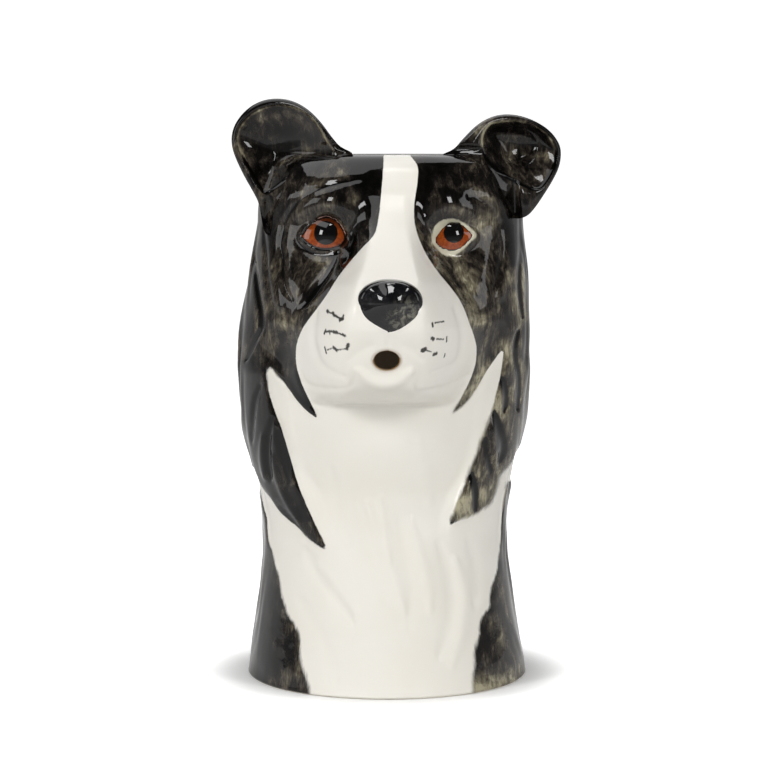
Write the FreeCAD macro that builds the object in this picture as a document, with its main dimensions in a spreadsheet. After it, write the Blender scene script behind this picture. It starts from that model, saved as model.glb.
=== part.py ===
import FreeCAD
import Part
import math
import os
import Sketcher

# A slip-cast dog's head pitcher.
# The row frame stands on the foot: +Z up, the muzzle faces -Y, and the origin is the middle of the foot.
# All sizes are in millimetres and all angles in degrees.

DOC = FreeCAD.newDocument("DogPitcher")
SHEET = DOC.addObject("Spreadsheet::Sheet", "Sizes")
PARTS_FOLDER = "parts"

# Driving dimensions: (name, value, what it is).
SIZES = (
    ("foot_width", 102.6, "across the foot"),
    ("foot_depth", 102.6, "front to back at the foot"),
    ("waist_width", 89.2, "across the neck at its narrowest"),
    ("waist_depth", 90.0, "front to back at the waist"),
    ("chest_width", 104.2, "across the mane above its lowest tips"),
    ("chest_depth", 103.0, "front to back there"),
    ("ruff_width", 106.4, "across the mane at its widest"),
    ("ruff_depth", 104.0, "front to back there"),
    ("temple_width", 96.8, "across the head beside the eyes"),
    ("temple_depth", 92.0, "front to back there"),
    ("crown_width", 78.0, "across the crest of the rim"),
    ("crown_depth", 70.0, "front to back at the crest of the rim"),
    ("neck_rise", 57.0, "foot to waist"),
    ("chest_rise", 40.0, "waist to chest"),
    ("cheek_rise", 25.0, "chest to ruff"),
    ("face_rise", 44.0, "ruff to temple"),
    ("crown_rise", 24.5, "temple to rim"),
    ("crown_setback", 2.5, "the rim's middle behind the foot's middle"),
    ("chest_sway", 1.3, "how far the chest leans to the left of the foot"),
    ("crown_sway", 1.2, "how far the rim leans to the right of the foot"),
    ("wall", 5.0, "wall of the casting"),
    ("floor_wall", 6.5, "floor of the casting"),
    ("lip_round", 1.6, "rounding of the rim"),
    ("foot_round", 1.6, "rounding of the foot's outer edge"),
    ("foot_ring", 9.0, "width of the unglazed ring it stands on"),
    ("foot_recess", 1.5, "depth inside that ring"),
    ("mane_relief", 4.0, "how far the mane stands off the chest"),
    ("mane_edge", 7.0, "softness of the mane's edge"),
    ("muzzle_length", 29.0, "how far the muzzle stands off the face"),
    ("muzzle_width", 63.0, "across the lips"),
    ("chin_drop", 19.0, "ruff level down to the underside of the chin"),
    ("bridge_rise", 55.0, "ruff level up to the stop between the eyes"),
    ("pour_bore", 9.0, "bore of the pouring hole in the mouth"),
    ("pour_drop", 18.8, "middle of the nose down to the pouring hole"),
    ("nose_rise", 18.5, "ruff level up to the middle of the nose"),
    ("nose_width", 22.5, "across the nose"),
    ("nose_height", 18.0, "top of the nose to its lower point"),
    ("nose_proud", 3.6, "how far the nose stands off the muzzle"),
    ("nose_wing", 6.6, "rounding of the nose's upper corners"),
    ("nose_point", 3.4, "rounding of the nose's lower point"),
    ("nose_round", 2.6, "rounding of the nose's front"),
    ("eye_spacing", 44.0, "between the middles of the eyes"),
    ("eye_rise", 41.0, "ruff level up to the eyes"),
    ("left_eye_width", 15.0, "corner to corner of the left eye"),
    ("right_eye_width", 13.6, "the same for the right eye"),
    ("eye_opening", 9.6, "between the lids"),
    ("eye_ball", 10.5, "radius of the eyeballs"),
    ("eye_proud", 1.2, "how far the balls stand off the face"),
    ("eye_seat", 2.6, "depth of the eyes' sockets"),
    ("eye_turn_angle", 24.0, "degrees that each eye faces outwards"),
    ("brow_relief", 2.6, "height of the brow over each eye"),
    ("brow_reach", 9.0, "spread of the brow"),
    ("socket_relief", 3.6, "hollow round each eye"),
    ("socket_reach", 11.0, "spread of that hollow"),
    ("cheek_relief", 2.4, "swell of each cheek"),
    ("cheek_reach", 12.0, "spread of that swell"),
    ("ear_width", 40.5, "across an ear"),
    ("ear_length", 53.0, "root to tip, with the root inside the head's outline"),
    ("ear_thickness", 18.0, "front to back of an ear"),
    ("ear_rim", 4.0, "wall of the ear beside its cup"),
    ("ear_back", 4.5, "wall of the ear behind its cup"),
    ("ear_cup_shift", 4.4, "cup's middle in front of the ear's middle"),
    ("left_ear_spread", 39.6, "middle of the left ear from the middle of the rim"),
    ("right_ear_spread", 40.6, "the same for the right ear"),
    ("left_ear_drop", 6.2, "rim down to the left ear's middle"),
    ("right_ear_drop", 8.6, "the same for the right ear"),
    ("ear_forward", 20.0, "ears' middle in front of the foot's middle"),
    ("left_ear_tilt_angle", 25.0, "degrees that the left ear leans outwards"),
    ("right_ear_tilt_angle", 42.0, "the same for the right ear"),
    ("ear_toe_angle", 24.0, "degrees that the cups face outwards"),
    ("handle_width", 17.0, "across the handle, side to side"),
    ("handle_thickness", 11.5, "the handle's thickness, front to back"),
    ("handle_reach", 38.0, "back of the head to the middle of the grip"),
    ("handle_top_drop", 26.0, "rim down to the handle's upper root"),
    ("handle_height", 104.0, "upper root to lower root"),
    ("handle_corner", 22.0, "bend of the handle at its top"),
    ("handle_heel", 26.0, "bend of the handle at its heel"),
    ("handle_seat", 12.0, "how far the handle is cut long inside the head's outline"),
    ("overrun", 6.0, "how far every cutting tool runs past what it cuts"),
)

# Outlines as shares, chosen by hand: (share of the muzzle's height, share of its length).
MUZZLE_PROFILE_SHARES = (
    (0.000, 0.00),
    (0.034, 0.42),
    (0.075, 0.68),
    (0.125, 0.82),
    (0.190, 0.88),
    (0.330, 0.93),
    (0.480, 1.00),
    (0.578, 0.93),
    (0.686, 0.62),
    (0.805, 0.30),
    (0.914, 0.10),
    (1.000, 0.00),
)
# (share of the muzzle's height, share of its half width)
MUZZLE_WIDTH_SHARES = (
    (0.00, 0.78),
    (0.08, 0.90),
    (0.19, 1.00),
    (0.35, 0.98),
    (0.46, 0.90),
    (0.57, 0.76),
    (0.68, 0.58),
    (0.81, 0.42),
    (1.00, 0.34),
)
# Across the muzzle: its flat front ends and its foot begins at these shares of its half width.
MUZZLE_FLAT_SHARE = 0.38
MUZZLE_FOOT_SHARE = 1.16
# Inner edge of the mane: (share of the way from the foot to the ruff, degrees from the front).
MANE_EDGE_ANGLES = ((0.0, 29.0), (0.45, 29.0), (0.57, 35.0), (0.65, 42.0), (0.80, 46.0), (1.0, 52.0))
# The mane's relief over its height: (share of the way from the foot to the ruff, share of the relief).
MANE_RELIEF_SHARES = ((0.0, 0.0), (0.42, 0.0), (0.60, 1.0), (0.93, 1.0), (1.08, 0.0))
# Rows of the casting's skin between two levels, from the foot up.
ROWS_PER_STRETCH = (7, 7, 5, 9)
CROWN_ROWS = 6
SKIN_COLUMNS = 60
# Columns of the skin stand closer together on the face: 0 spreads them evenly.
FACE_CROWDING_SHARE = 0.42
SKIN_DEGREE = 3


def fill_sheet():
    """Writes every driving dimension into the sheet under its own name."""
    for row, (name, value, words) in enumerate(SIZES, start=1):
        SHEET.set(f"A{row}", name)
        SHEET.set(f"B{row}", str(value))
        SHEET.setAlias(f"B{row}", name)
        SHEET.set(f"C{row}", words)
    DOC.recompute()


def size(name):
    """A driving dimension, read from the sheet."""
    return float(getattr(SHEET, name))


def bind(thing, **properties):
    """Binds an object's sizes to expressions in the sheet's names."""
    for name, expression in properties.items():
        thing.setExpression(name, expression)
    return thing


def eased(value, table):
    """A smooth curve through (place, value) pairs, level beyond its ends, that never overshoots between two of them."""
    places = [p for p, _ in table]
    values = [v for _, v in table]
    if value <= places[0]:
        return values[0]
    if value >= places[-1]:
        return values[-1]
    slopes = [(values[i + 1] - values[i]) / (places[i + 1] - places[i]) for i in range(len(table) - 1)]
    tangents = [slopes[0]]
    for before, after in zip(slopes, slopes[1:]):
        tangents.append(0.0 if before * after <= 0 else 2 * before * after / (before + after))
    tangents.append(slopes[-1])
    i = max(k for k in range(len(slopes)) if places[k] <= value)
    span = places[i + 1] - places[i]
    t = (value - places[i]) / span
    rise = values[i + 1] - values[i]
    return (
        values[i]
        + tangents[i] * span * t
        + (3 * rise - span * (2 * tangents[i] + tangents[i + 1])) * t**2
        + (span * (tangents[i] + tangents[i + 1]) - 2 * rise) * t**3
    )


def faded(value, start, end):
    """0 before start, 1 after end, and smooth between them."""
    t = min(1.0, max(0.0, (value - start) / (end - start)))
    return t * t * (3 - 2 * t)


def swell(x, level, middle_x, middle_level, reach):
    """A round swelling of height 1 that fades out over reach."""
    distance = math.hypot(x - middle_x, level - middle_level)
    return math.exp(-((distance / reach) ** 2))


class Head:
    """Levels and skin of the cast head, read once from the sheet."""

    def __init__(self):
        self.waist = size("neck_rise")
        self.chest = self.waist + size("chest_rise")
        self.ruff = self.chest + size("cheek_rise")
        self.temple = self.ruff + size("face_rise")
        self.rim = self.temple + size("crown_rise")
        self.levels = (0.0, self.waist, self.chest, self.ruff, self.temple)
        self.chin = self.ruff - size("chin_drop")
        self.stop = self.ruff + size("bridge_rise")
        self.eye = self.ruff + size("eye_rise")
        self.nose = self.ruff + size("nose_rise")
        self.pour = self.nose - size("pour_drop")
        stations = ("foot", "waist", "chest", "ruff", "temple")
        self.half_widths = tuple((lv, size(f"{n}_width") / 2) for lv, n in zip(self.levels, stations))
        self.half_depths = tuple((lv, size(f"{n}_depth") / 2) for lv, n in zip(self.levels, stations))
        self.sways = ((0.0, 0.0), (self.chest, -size("chest_sway")), (self.temple, size("crown_sway")))

    def ring(self, level):
        """Half width, half depth and set-back of the head at a level."""
        if level <= self.temple:
            setback = size("crown_setback") * faded(level, self.ruff, self.rim)
            return eased(level, self.half_widths), eased(level, self.half_depths), setback
        share = min(1.0, (level - self.temple) / size("crown_rise"))
        dome = math.sqrt(1.0 - share**2)
        half_width = size("crown_width") / 2 + dome * (size("temple_width") - size("crown_width")) / 2
        half_depth = size("crown_depth") / 2 + dome * (size("temple_depth") - size("crown_depth")) / 2
        return half_width, half_depth, size("crown_setback") * faded(level, self.ruff, self.rim)

    def mane(self, angle, level):
        """How far the chest lies under the mane at this place."""
        share = level / self.ruff
        edge = eased(share, MANE_EDGE_ANGLES)
        softness = math.degrees(size("mane_edge") / (size("ruff_width") / 2))
        off_front = math.degrees(math.acos(math.cos(angle)))
        bare = 1.0 - faded(off_front, edge - softness / 2, edge + softness / 2)
        return size("mane_relief") * bare * eased(share, MANE_RELIEF_SHARES)

    def muzzle(self, x, level, inset):
        """How far the muzzle stands off the face, its walls drawn in by inset."""
        low, high = self.chin + inset, self.stop - inset
        share = (level - low) / (high - low)
        if not 0.0 < share < 1.0:
            return 0.0
        half_width = size("muzzle_width") / 2 * eased(share, MUZZLE_WIDTH_SHARES) - inset
        across = 1.0 - faded(abs(x) / half_width, MUZZLE_FLAT_SHARE, MUZZLE_FOOT_SHARE)
        return size("muzzle_length") * eased(share, MUZZLE_PROFILE_SHARES) * across

    def features(self, x, level):
        """Brows, eye hollows and cheeks."""
        side = abs(x)
        eye_x = size("eye_spacing") / 2
        brow = swell(side, level, eye_x, self.eye + size("brow_reach"), size("brow_reach"))
        hollow = swell(side, level, eye_x, self.eye, size("socket_reach"))
        cheek = swell(side, level, eye_x + size("cheek_reach"), self.eye - 2 * size("cheek_reach"), size("cheek_reach"))
        return (
            size("brow_relief") * brow
            - size("socket_relief") * hollow
            + size("cheek_relief") * cheek
        )

    def skin(self, angle, level, inset=0.0):
        """A point of the casting's skin, drawn in by inset. Angle 0 is the front."""
        half_width, half_depth, setback = self.ring(level)
        drawn = inset + self.mane(angle, level)
        x = (half_width - drawn) * math.sin(angle)
        y = setback - (half_depth - drawn) * math.cos(angle)
        if math.cos(angle) > 0:
            y -= self.muzzle(x, level, inset) + faded(math.cos(angle), 0.0, 0.5) * self.features(x, level)
        return FreeCAD.Vector(x + self.sway(level), y, level)

    def sway(self, level):
        """How far the head's middle lies to the right of the foot's middle at a level."""
        return eased(level, self.sways)

    def ring_levels(self, low, high, inset):
        """Levels of the skin's rows from low to high, the crown's rows excepted."""
        stretches = zip(self.levels, self.levels[1:], ROWS_PER_STRETCH)
        rows = [start + (end - start) * i / count for start, end, count in stretches for i in range(count)]
        gap = inset / 2
        return [low] + [row for row in rows if low + gap < row < high - gap]


def column_angles():
    """Directions of the skin's columns, closer together on the face."""
    even = [2 * math.pi * i / SKIN_COLUMNS for i in range(SKIN_COLUMNS)]
    return [a - FACE_CROWDING_SHARE * math.sin(a) for a in even]


def skin_solid(rows):
    """A closed solid from rows of skin points: the first and the last row are level and get a flat end."""
    columns = [list(column) for column in zip(*rows)]
    count = len(rows)
    surface = Part.BSplineSurface()
    across_knots = [float(k) for k in range(SKIN_COLUMNS + 1)]
    along_knots = [float(k) for k in range(count - SKIN_DEGREE + 1)]
    along_mults = [SKIN_DEGREE + 1] + [1] * (len(along_knots) - 2) + [SKIN_DEGREE + 1]
    surface.buildFromPolesMultsKnots(
        columns,
        [1] * len(across_knots),
        along_mults,
        across_knots,
        along_knots,
        True,
        False,
        SKIN_DEGREE,
        SKIN_DEGREE,
    )
    side = surface.toShape()
    ends = [Part.Face(Part.Wire([edge])) for edge in side.Edges if edge.Closed]
    shell = Part.Shell([side] + ends)
    shell.sewShape()
    solid = Part.Solid(shell)
    if solid.Volume < 0:
        solid.reverse()
    return solid


def skin_ring(head, level, inset=0.0, at_level=None):
    """One row of skin points, drawn in by inset. at_level puts it at another level."""
    row = []
    for angle in column_angles():
        point = head.skin(angle, level, inset)
        row.append(FreeCAD.Vector(point.x, point.y, level if at_level is None else at_level))
    return row


def outer_rows(head):
    """Rows of the outside, from the foot over the forehead to the crest of the rim."""
    rounding = size("foot_round")
    rows = [
        skin_ring(head, 0.0, inset=rounding),
        skin_ring(head, 0.0, inset=rounding / 2),
        skin_ring(head, rounding / 2, at_level=rounding / 3),
    ]
    rows += [skin_ring(head, level) for level in head.ring_levels(rounding, head.temple, rounding)]
    for i in range(CROWN_ROWS + 1):
        turn = math.pi / 2 * i / CROWN_ROWS
        rows.append(skin_ring(head, head.temple + size("crown_rise") * math.sin(turn)))
    return rows


def inner_rows(head):
    """Rows of the inside, from the mouth of the jug down to its floor."""
    wall, lip = size("wall"), size("lip_round")
    rows = [
        skin_ring(head, head.rim, inset=lip),
        skin_ring(head, head.rim, inset=2 * lip, at_level=head.rim - lip),
        skin_ring(head, head.rim, inset=2 * lip, at_level=head.rim - 2 * lip),
    ]
    for i in range(CROWN_ROWS - 1, -1, -1):
        turn = math.pi / 2 * i / CROWN_ROWS
        level = head.temple - wall + (size("crown_rise") - lip) * math.sin(turn)
        source = head.temple + size("crown_rise") * math.sin(turn)
        rows.append(skin_ring(head, source, inset=wall, at_level=level))
    floor = size("floor_wall")
    levels = head.ring_levels(floor + wall, head.temple - wall, wall)
    rows += [skin_ring(head, level, inset=wall) for level in reversed(levels)]
    rows.append(skin_ring(head, floor + wall / 2, inset=wall))
    rows.append(skin_ring(head, floor + wall / 2, inset=1.2 * wall, at_level=floor))
    rows.append(skin_ring(head, floor + wall / 2, inset=2 * wall, at_level=floor))
    return rows


def core_rows(head):
    """Rows of a solid that fills the jug to the middle of its wall and stands up out of its mouth.

    It trims what is joined to the outside, so that nothing reaches into the jug or over its mouth.
    """
    half_wall = size("wall") / 2
    low, high = size("floor_wall"), head.rim - size("lip_round") - half_wall
    rows = [skin_ring(head, low, inset=half_wall)]
    rows += [skin_ring(head, level, inset=half_wall) for level in head.ring_levels(low, head.temple, half_wall)[1:]]
    rise = high - head.temple
    for i in range(CROWN_ROWS + 1):
        turn = math.pi / 2 * i / CROWN_ROWS
        source = head.temple + size("crown_rise") * math.sin(turn)
        rows.append(skin_ring(head, source, inset=half_wall, at_level=head.temple + rise * math.sin(turn)))
    mouth = 2 * size("lip_round")
    for share in (0.5, 1.0):
        rows.append(skin_ring(head, head.rim, inset=mouth, at_level=head.rim + share * size("ear_length") / 2))
    return rows


def feature(name, shape):
    """A document object that holds a computed shape."""
    thing = DOC.addObject("Part::Feature", name)
    thing.Shape = shape
    return thing


def place(thing, x=0.0, y=0.0, z=0.0, turn=None):
    """Puts an object at a point, turned by a rotation."""
    thing.Placement = FreeCAD.Placement(FreeCAD.Vector(x, y, z), turn or FreeCAD.Rotation())
    return thing


def front_of(casting, x, level):
    """Y of the foremost point of the casting at this place."""
    reach = size("ruff_depth")
    ray = Part.makeLine(FreeCAD.Vector(x, -reach, level), FreeCAD.Vector(x, 0, level))
    return min(v.Y for v in ray.common(casting.Shape).Vertexes)


def cut(name, base, tool):
    """Base with the tool's shape removed."""
    thing = DOC.addObject("Part::Cut", name)
    thing.Base = base
    thing.Tool = tool
    return thing


def trimmed(name, base, casting, core):
    """A joined piece cut back to the outside of the casting."""
    return cut(name, cut(f"{name}OffCasting", base, casting), core)


def fuse(name, things):
    """Several shapes joined into one tool."""
    thing = DOC.addObject("Part::MultiFuse", name)
    thing.Shapes = things
    return thing


def body(name):
    """An empty body."""
    return DOC.addObject("PartDesign::Body", name)


def sketch_on(owner, plane, name):
    """A sketch on one of a body's own origin planes."""
    sketch = owner.newObject("Sketcher::SketchObject", name)
    origin_plane = next(f for f in owner.Origin.OriginFeatures if f.Role == plane)
    sketch.AttachmentSupport = [(origin_plane, "")]
    sketch.MapMode = "FlatFace"
    return sketch


def named(sketch, name, expression, kind, *where):
    """A driving constraint with a name, bound to the sheet."""
    index = sketch.addConstraint(Sketcher.Constraint(kind, *where))
    sketch.renameConstraint(index, name)
    sketch.setExpression(f"Constraints.{name}", expression)


def line(sketch, start, end):
    """A straight edge in a sketch, by its ends."""
    return sketch.addGeometry(Part.LineSegment(FreeCAD.Vector(*start, 0), FreeCAD.Vector(*end, 0)), False)


def arc(sketch, middle, radius, start, end):
    """An arc in a sketch, counter-clockwise between two angles in degrees."""
    circle = Part.Circle(FreeCAD.Vector(*middle, 0), FreeCAD.Vector(0, 0, 1), radius)
    return sketch.addGeometry(Part.ArcOfCircle(circle, math.radians(start), math.radians(end)), False)


def foot_recess():
    """The shallow recess inside the foot ring."""
    tool = DOC.addObject("Part::Cylinder", "FootRecess")
    place(tool, z=-size("overrun"))
    bind(tool, Radius="Sizes.foot_width / 2 - Sizes.foot_ring", Height="Sizes.foot_recess + Sizes.overrun")
    return tool


def pour_hole(head):
    """The pouring hole in the mouth, level through the front of the muzzle into the jug."""
    tool = DOC.addObject("Part::Cylinder", "PourBore")
    bind(tool, Radius="Sizes.pour_bore / 2", Height="Sizes.muzzle_length + Sizes.overrun + 2 * Sizes.wall")
    start = -(size("ruff_depth") / 2 + size("muzzle_length") + size("overrun"))
    turn = FreeCAD.Rotation(FreeCAD.Vector(1, 0, 0), -90)
    return place(tool, head.sway(head.pour), start, head.pour, turn)


def almond(name, width, length):
    """A pad with an eye's almond outline: width and length are expressions. Its outside end is at the origin."""
    owner = body(name)
    sketch = sketch_on(owner, "XZ_Plane", f"{name}Outline")
    half, opening = size("left_eye_width") / 2, size("eye_opening") / 2
    radius = (half**2 + opening**2) / (2 * opening)
    spread = math.degrees(math.asin(half / radius))
    upper = arc(sketch, (0, opening - radius), radius, 90 - spread, 90 + spread)
    lower = arc(sketch, (0, radius - opening), radius, 270 - spread, 270 + spread)
    sketch.addConstraint(Sketcher.Constraint("Coincident", upper, 2, lower, 1))
    sketch.addConstraint(Sketcher.Constraint("Coincident", upper, 1, lower, 2))
    sketch.addConstraint(Sketcher.Constraint("Symmetric", upper, 1, upper, 2, -1, 1))
    sketch.addConstraint(Sketcher.Constraint("PointOnObject", upper, 1, -1))
    sketch.addConstraint(Sketcher.Constraint("Equal", upper, lower))
    named(sketch, "corners", width, "DistanceX", upper, 2, upper, 1, 2 * half)
    bend = f"(({width}) ^ 2 / 4 + (Sizes.eye_opening) ^ 2 / 4) / Sizes.eye_opening"
    named(sketch, "bend", bend, "Radius", upper, radius)
    DOC.recompute()
    pad = owner.newObject("PartDesign::Pad", f"{name}Pad")
    pad.Profile = sketch
    bind(pad, Length=length)
    pad.Reversed = True
    DOC.recompute()
    return owner


def eye(side, casting, head, sign):
    """An eyeball behind its almond opening, and the socket tool that it sits in."""
    width = f"Sizes.{side}_eye_width"
    x = head.sway(head.eye) + sign * size("eye_spacing") / 2
    turn = FreeCAD.Rotation(FreeCAD.Vector(0, 0, 1), sign * size("eye_turn_angle"))
    out = turn.multVec(FreeCAD.Vector(0, -1, 0))
    skin = FreeCAD.Vector(x, front_of(casting, x, head.eye), head.eye)
    title = side.capitalize()
    pad = almond(f"{title}EyePad", width, "Sizes.eye_seat + Sizes.eye_proud")
    ball = DOC.addObject("Part::Sphere", f"{title}EyeBall")
    bind(ball, Radius="Sizes.eye_ball")
    socket = almond(f"{title}EyeSocket", width, "Sizes.eye_seat + Sizes.overrun")
    lens = DOC.addObject("Part::MultiCommon", f"{title}Eye")
    front = skin + out * size("eye_proud")
    middle = front - out * size("eye_ball")
    outer = skin + out * size("overrun")
    place(pad, *front, turn=turn)
    place(ball, *middle)
    place(socket, *outer, turn=turn)
    lens.Shapes = [pad, ball]
    return lens, socket


def ear(side, head, sign):
    """An ear: an egg-shaped shell with a cup in its front, leaning outwards."""
    title = side.capitalize()
    shell = DOC.addObject("Part::Ellipsoid", f"{title}EarShell")
    cup = DOC.addObject("Part::Ellipsoid", f"{title}EarCup")
    for thing in (shell, cup):
        thing.Angle1, thing.Angle2, thing.Angle3 = -90, 90, 360
    bind(shell, Radius1="Sizes.ear_thickness / 2", Radius2="Sizes.ear_width / 2", Radius3="Sizes.ear_length / 2")
    bind(
        cup,
        Radius1="Sizes.ear_thickness / 2 - Sizes.ear_back + Sizes.ear_cup_shift",
        Radius2="Sizes.ear_width / 2 - Sizes.ear_rim",
        Radius3="Sizes.ear_length / 2 - Sizes.ear_rim",
    )
    # The poles of both are at the front and the back of the ear, clear of the cup's edge.
    upright = FreeCAD.Rotation(FreeCAD.Vector(1, 0, 0), 90)
    lean = FreeCAD.Rotation(FreeCAD.Vector(0, 1, 0), sign * size(f"{side}_ear_tilt_angle"))
    toe = FreeCAD.Rotation(FreeCAD.Vector(0, 0, 1), sign * size("ear_toe_angle"))
    turn = toe.multiply(lean)
    middle = FreeCAD.Vector(
        head.sway(head.rim) + sign * size(f"{side}_ear_spread"),
        -size("ear_forward"),
        head.rim - size(f"{side}_ear_drop"),
    )
    cup_middle = middle + turn.multVec(FreeCAD.Vector(0, -size("ear_cup_shift"), 0))
    place(shell, *middle, turn=turn.multiply(upright))
    place(cup, *cup_middle, turn=turn.multiply(upright))
    return cut(f"{title}EarHollowed", shell, cup)


def handle_path(owner, head):
    """The handle's middle line in the middle plane, from its upper root round the grip to its lower root."""
    sketch = sketch_on(owner, "YZ_Plane", "HandlePath")
    inner = size("temple_depth") / 2 - size("handle_seat")
    outer = size("ruff_depth") / 2 + size("handle_reach")
    top = head.rim - size("handle_top_drop")
    low = top - size("handle_height")
    corner, heel = size("handle_corner"), size("handle_heel")
    upper = line(sketch, (inner, top), (outer - corner, top))
    bend = arc(sketch, (outer - corner, top - corner), corner, 0, 90)
    grip = line(sketch, (outer, top - corner), (outer, low + heel))
    base = arc(sketch, (outer - heel, low + heel), heel, 270, 360)
    lower = line(sketch, (outer - heel, low), (inner, low))
    sketch.addConstraint(Sketcher.Constraint("Horizontal", upper))
    sketch.addConstraint(Sketcher.Constraint("Vertical", grip))
    sketch.addConstraint(Sketcher.Constraint("Horizontal", lower))
    sketch.addConstraint(Sketcher.Constraint("Tangent", upper, 2, bend, 2))
    sketch.addConstraint(Sketcher.Constraint("Tangent", bend, 1, grip, 1))
    sketch.addConstraint(Sketcher.Constraint("Tangent", grip, 2, base, 2))
    sketch.addConstraint(Sketcher.Constraint("Tangent", base, 1, lower, 1))
    sketch.addConstraint(Sketcher.Constraint("Vertical", upper, 1, lower, 2))
    levels = "Sizes.neck_rise + Sizes.chest_rise + Sizes.cheek_rise + Sizes.face_rise + Sizes.crown_rise"
    named(sketch, "root", "Sizes.temple_depth / 2 - Sizes.handle_seat", "DistanceX", -1, 1, upper, 1, inner)
    named(sketch, "level", f"{levels} - Sizes.handle_top_drop", "DistanceY", -1, 1, upper, 1, top)
    named(sketch, "height", "Sizes.handle_height", "DistanceY", lower, 2, upper, 1, top - low)
    named(sketch, "reach", "Sizes.ruff_depth / 2 + Sizes.handle_reach", "DistanceX", -1, 1, grip, 1, outer)
    named(sketch, "corner", "Sizes.handle_corner", "Radius", bend, corner)
    named(sketch, "heel", "Sizes.handle_heel", "Radius", base, heel)
    return sketch


def handle(head):
    """The handle at the back: an oval bar along its path, before its ends are trimmed."""
    owner = body("HandleBar")
    path = handle_path(owner, head)
    section = sketch_on(owner, "XZ_Plane", "HandleSection")
    section.setExpression("AttachmentOffset.Base.z", "-(Sizes.temple_depth / 2 - Sizes.handle_seat)")
    levels = "Sizes.neck_rise + Sizes.chest_rise + Sizes.cheek_rise + Sizes.face_rise + Sizes.crown_rise"
    top = head.rim - size("handle_top_drop")
    half_width, half_thickness = size("handle_width") / 2, size("handle_thickness") / 2
    middle = FreeCAD.Vector(0, top, 0)
    side_point = middle + FreeCAD.Vector(half_width, 0, 0)
    top_point = middle + FreeCAD.Vector(0, half_thickness, 0)
    section.addGeometry(Part.Ellipse(side_point, top_point, middle), False)
    section.exposeInternalGeometry(0)
    section.addConstraint(Sketcher.Constraint("Horizontal", 1))
    section.addConstraint(Sketcher.Constraint("PointOnObject", 0, 3, -2))
    named(section, "level", f"{levels} - Sizes.handle_top_drop", "DistanceY", -1, 1, 0, 3, top)
    named(section, "across", "Sizes.handle_width", "Distance", 1, 2 * half_width)
    named(section, "through", "Sizes.handle_thickness", "Distance", 2, 2 * half_thickness)
    DOC.recompute()
    pipe = owner.newObject("PartDesign::AdditivePipe", "HandlePipe")
    pipe.Profile = section
    pipe.Spine = (path, [])
    DOC.recompute()
    return owner


def nose(casting, head):
    """The nose pad: a rounded triangle with a softened front, before its back is trimmed to the muzzle."""
    owner = body("NosePad")
    sketch = sketch_on(owner, "XZ_Plane", "NoseOutline")
    half_width, half_height = size("nose_width") / 2, size("nose_height") / 2
    wing, point = size("nose_wing"), size("nose_point")
    centre_x, centre_z = half_width - wing, half_height - wing
    low = point - half_height
    lean = math.degrees(math.atan2(centre_z - low, centre_x))
    apart = math.hypot(centre_x, centre_z - low)
    flank = lean - 90 + math.degrees(math.asin((wing - point) / apart))
    right = arc(sketch, (centre_x, centre_z), wing, flank, 90)
    left = arc(sketch, (-centre_x, centre_z), wing, 90, 180 - flank)
    tip = arc(sketch, (0, low), point, 180 - flank, 360 + flank)
    ends = [
        [(math.cos(math.radians(a)) * r + x, math.sin(math.radians(a)) * r + z) for a in (start, end)]
        for x, z, r, start, end in (
            (centre_x, centre_z, wing, flank, 90),
            (-centre_x, centre_z, wing, 90, 180 - flank),
            (0, low, point, 180 - flank, 360 + flank),
        )
    ]
    top = line(sketch, ends[0][1], ends[1][0])
    left_flank = line(sketch, ends[1][1], ends[2][0])
    right_flank = line(sketch, ends[2][1], ends[0][0])
    sketch.addConstraint(Sketcher.Constraint("Tangent", right, 2, top, 1))
    sketch.addConstraint(Sketcher.Constraint("Tangent", top, 2, left, 1))
    sketch.addConstraint(Sketcher.Constraint("Tangent", left, 2, left_flank, 1))
    sketch.addConstraint(Sketcher.Constraint("Tangent", left_flank, 2, tip, 1))
    sketch.addConstraint(Sketcher.Constraint("Tangent", tip, 2, right_flank, 1))
    sketch.addConstraint(Sketcher.Constraint("Tangent", right_flank, 2, right, 1))
    sketch.addConstraint(Sketcher.Constraint("Symmetric", left, 3, right, 3, -2))
    sketch.addConstraint(Sketcher.Constraint("Equal", left, right))
    sketch.addConstraint(Sketcher.Constraint("PointOnObject", tip, 3, -2))
    named(sketch, "wing", "Sizes.nose_wing", "Radius", right, wing)
    named(sketch, "point", "Sizes.nose_point", "Radius", tip, point)
    named(sketch, "apart", "Sizes.nose_width - 2 * Sizes.nose_wing", "DistanceX", left, 3, right, 3, 2 * centre_x)
    named(sketch, "above", "Sizes.nose_height / 2 - Sizes.nose_wing", "DistanceY", -1, 1, right, 3, centre_z)
    named(sketch, "below", "Sizes.nose_height / 2 - Sizes.nose_point", "DistanceY", tip, 3, -1, 1, -low)
    DOC.recompute()
    pad = owner.newObject("PartDesign::Pad", "NoseBlock")
    pad.Profile = sketch
    bind(pad, Length="Sizes.nose_proud + 2 * Sizes.wall")
    pad.Reversed = True
    DOC.recompute()
    rounded = owner.newObject("PartDesign::Fillet", "NoseRounding")
    front_face = min(range(len(pad.Shape.Faces)), key=lambda i: pad.Shape.Faces[i].CenterOfMass.y)
    rounded.Base = (pad, [f"Face{front_face + 1}"])
    bind(rounded, Radius="Sizes.nose_round")
    DOC.recompute()
    middle = head.sway(head.nose)
    place(owner, middle, front_of(casting, middle, head.nose) - size("nose_proud"), head.nose)
    return owner


def finished(name, thing):
    """Names a sub-part and checks it; a joined piece keeps only its outside."""
    DOC.recompute()
    solids = thing.Shape.Solids
    if len(solids) > 1:
        thing = feature(f"{thing.Name}Outside", max(solids, key=lambda solid: solid.Volume))
    thing.Label = name
    return thing


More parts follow.
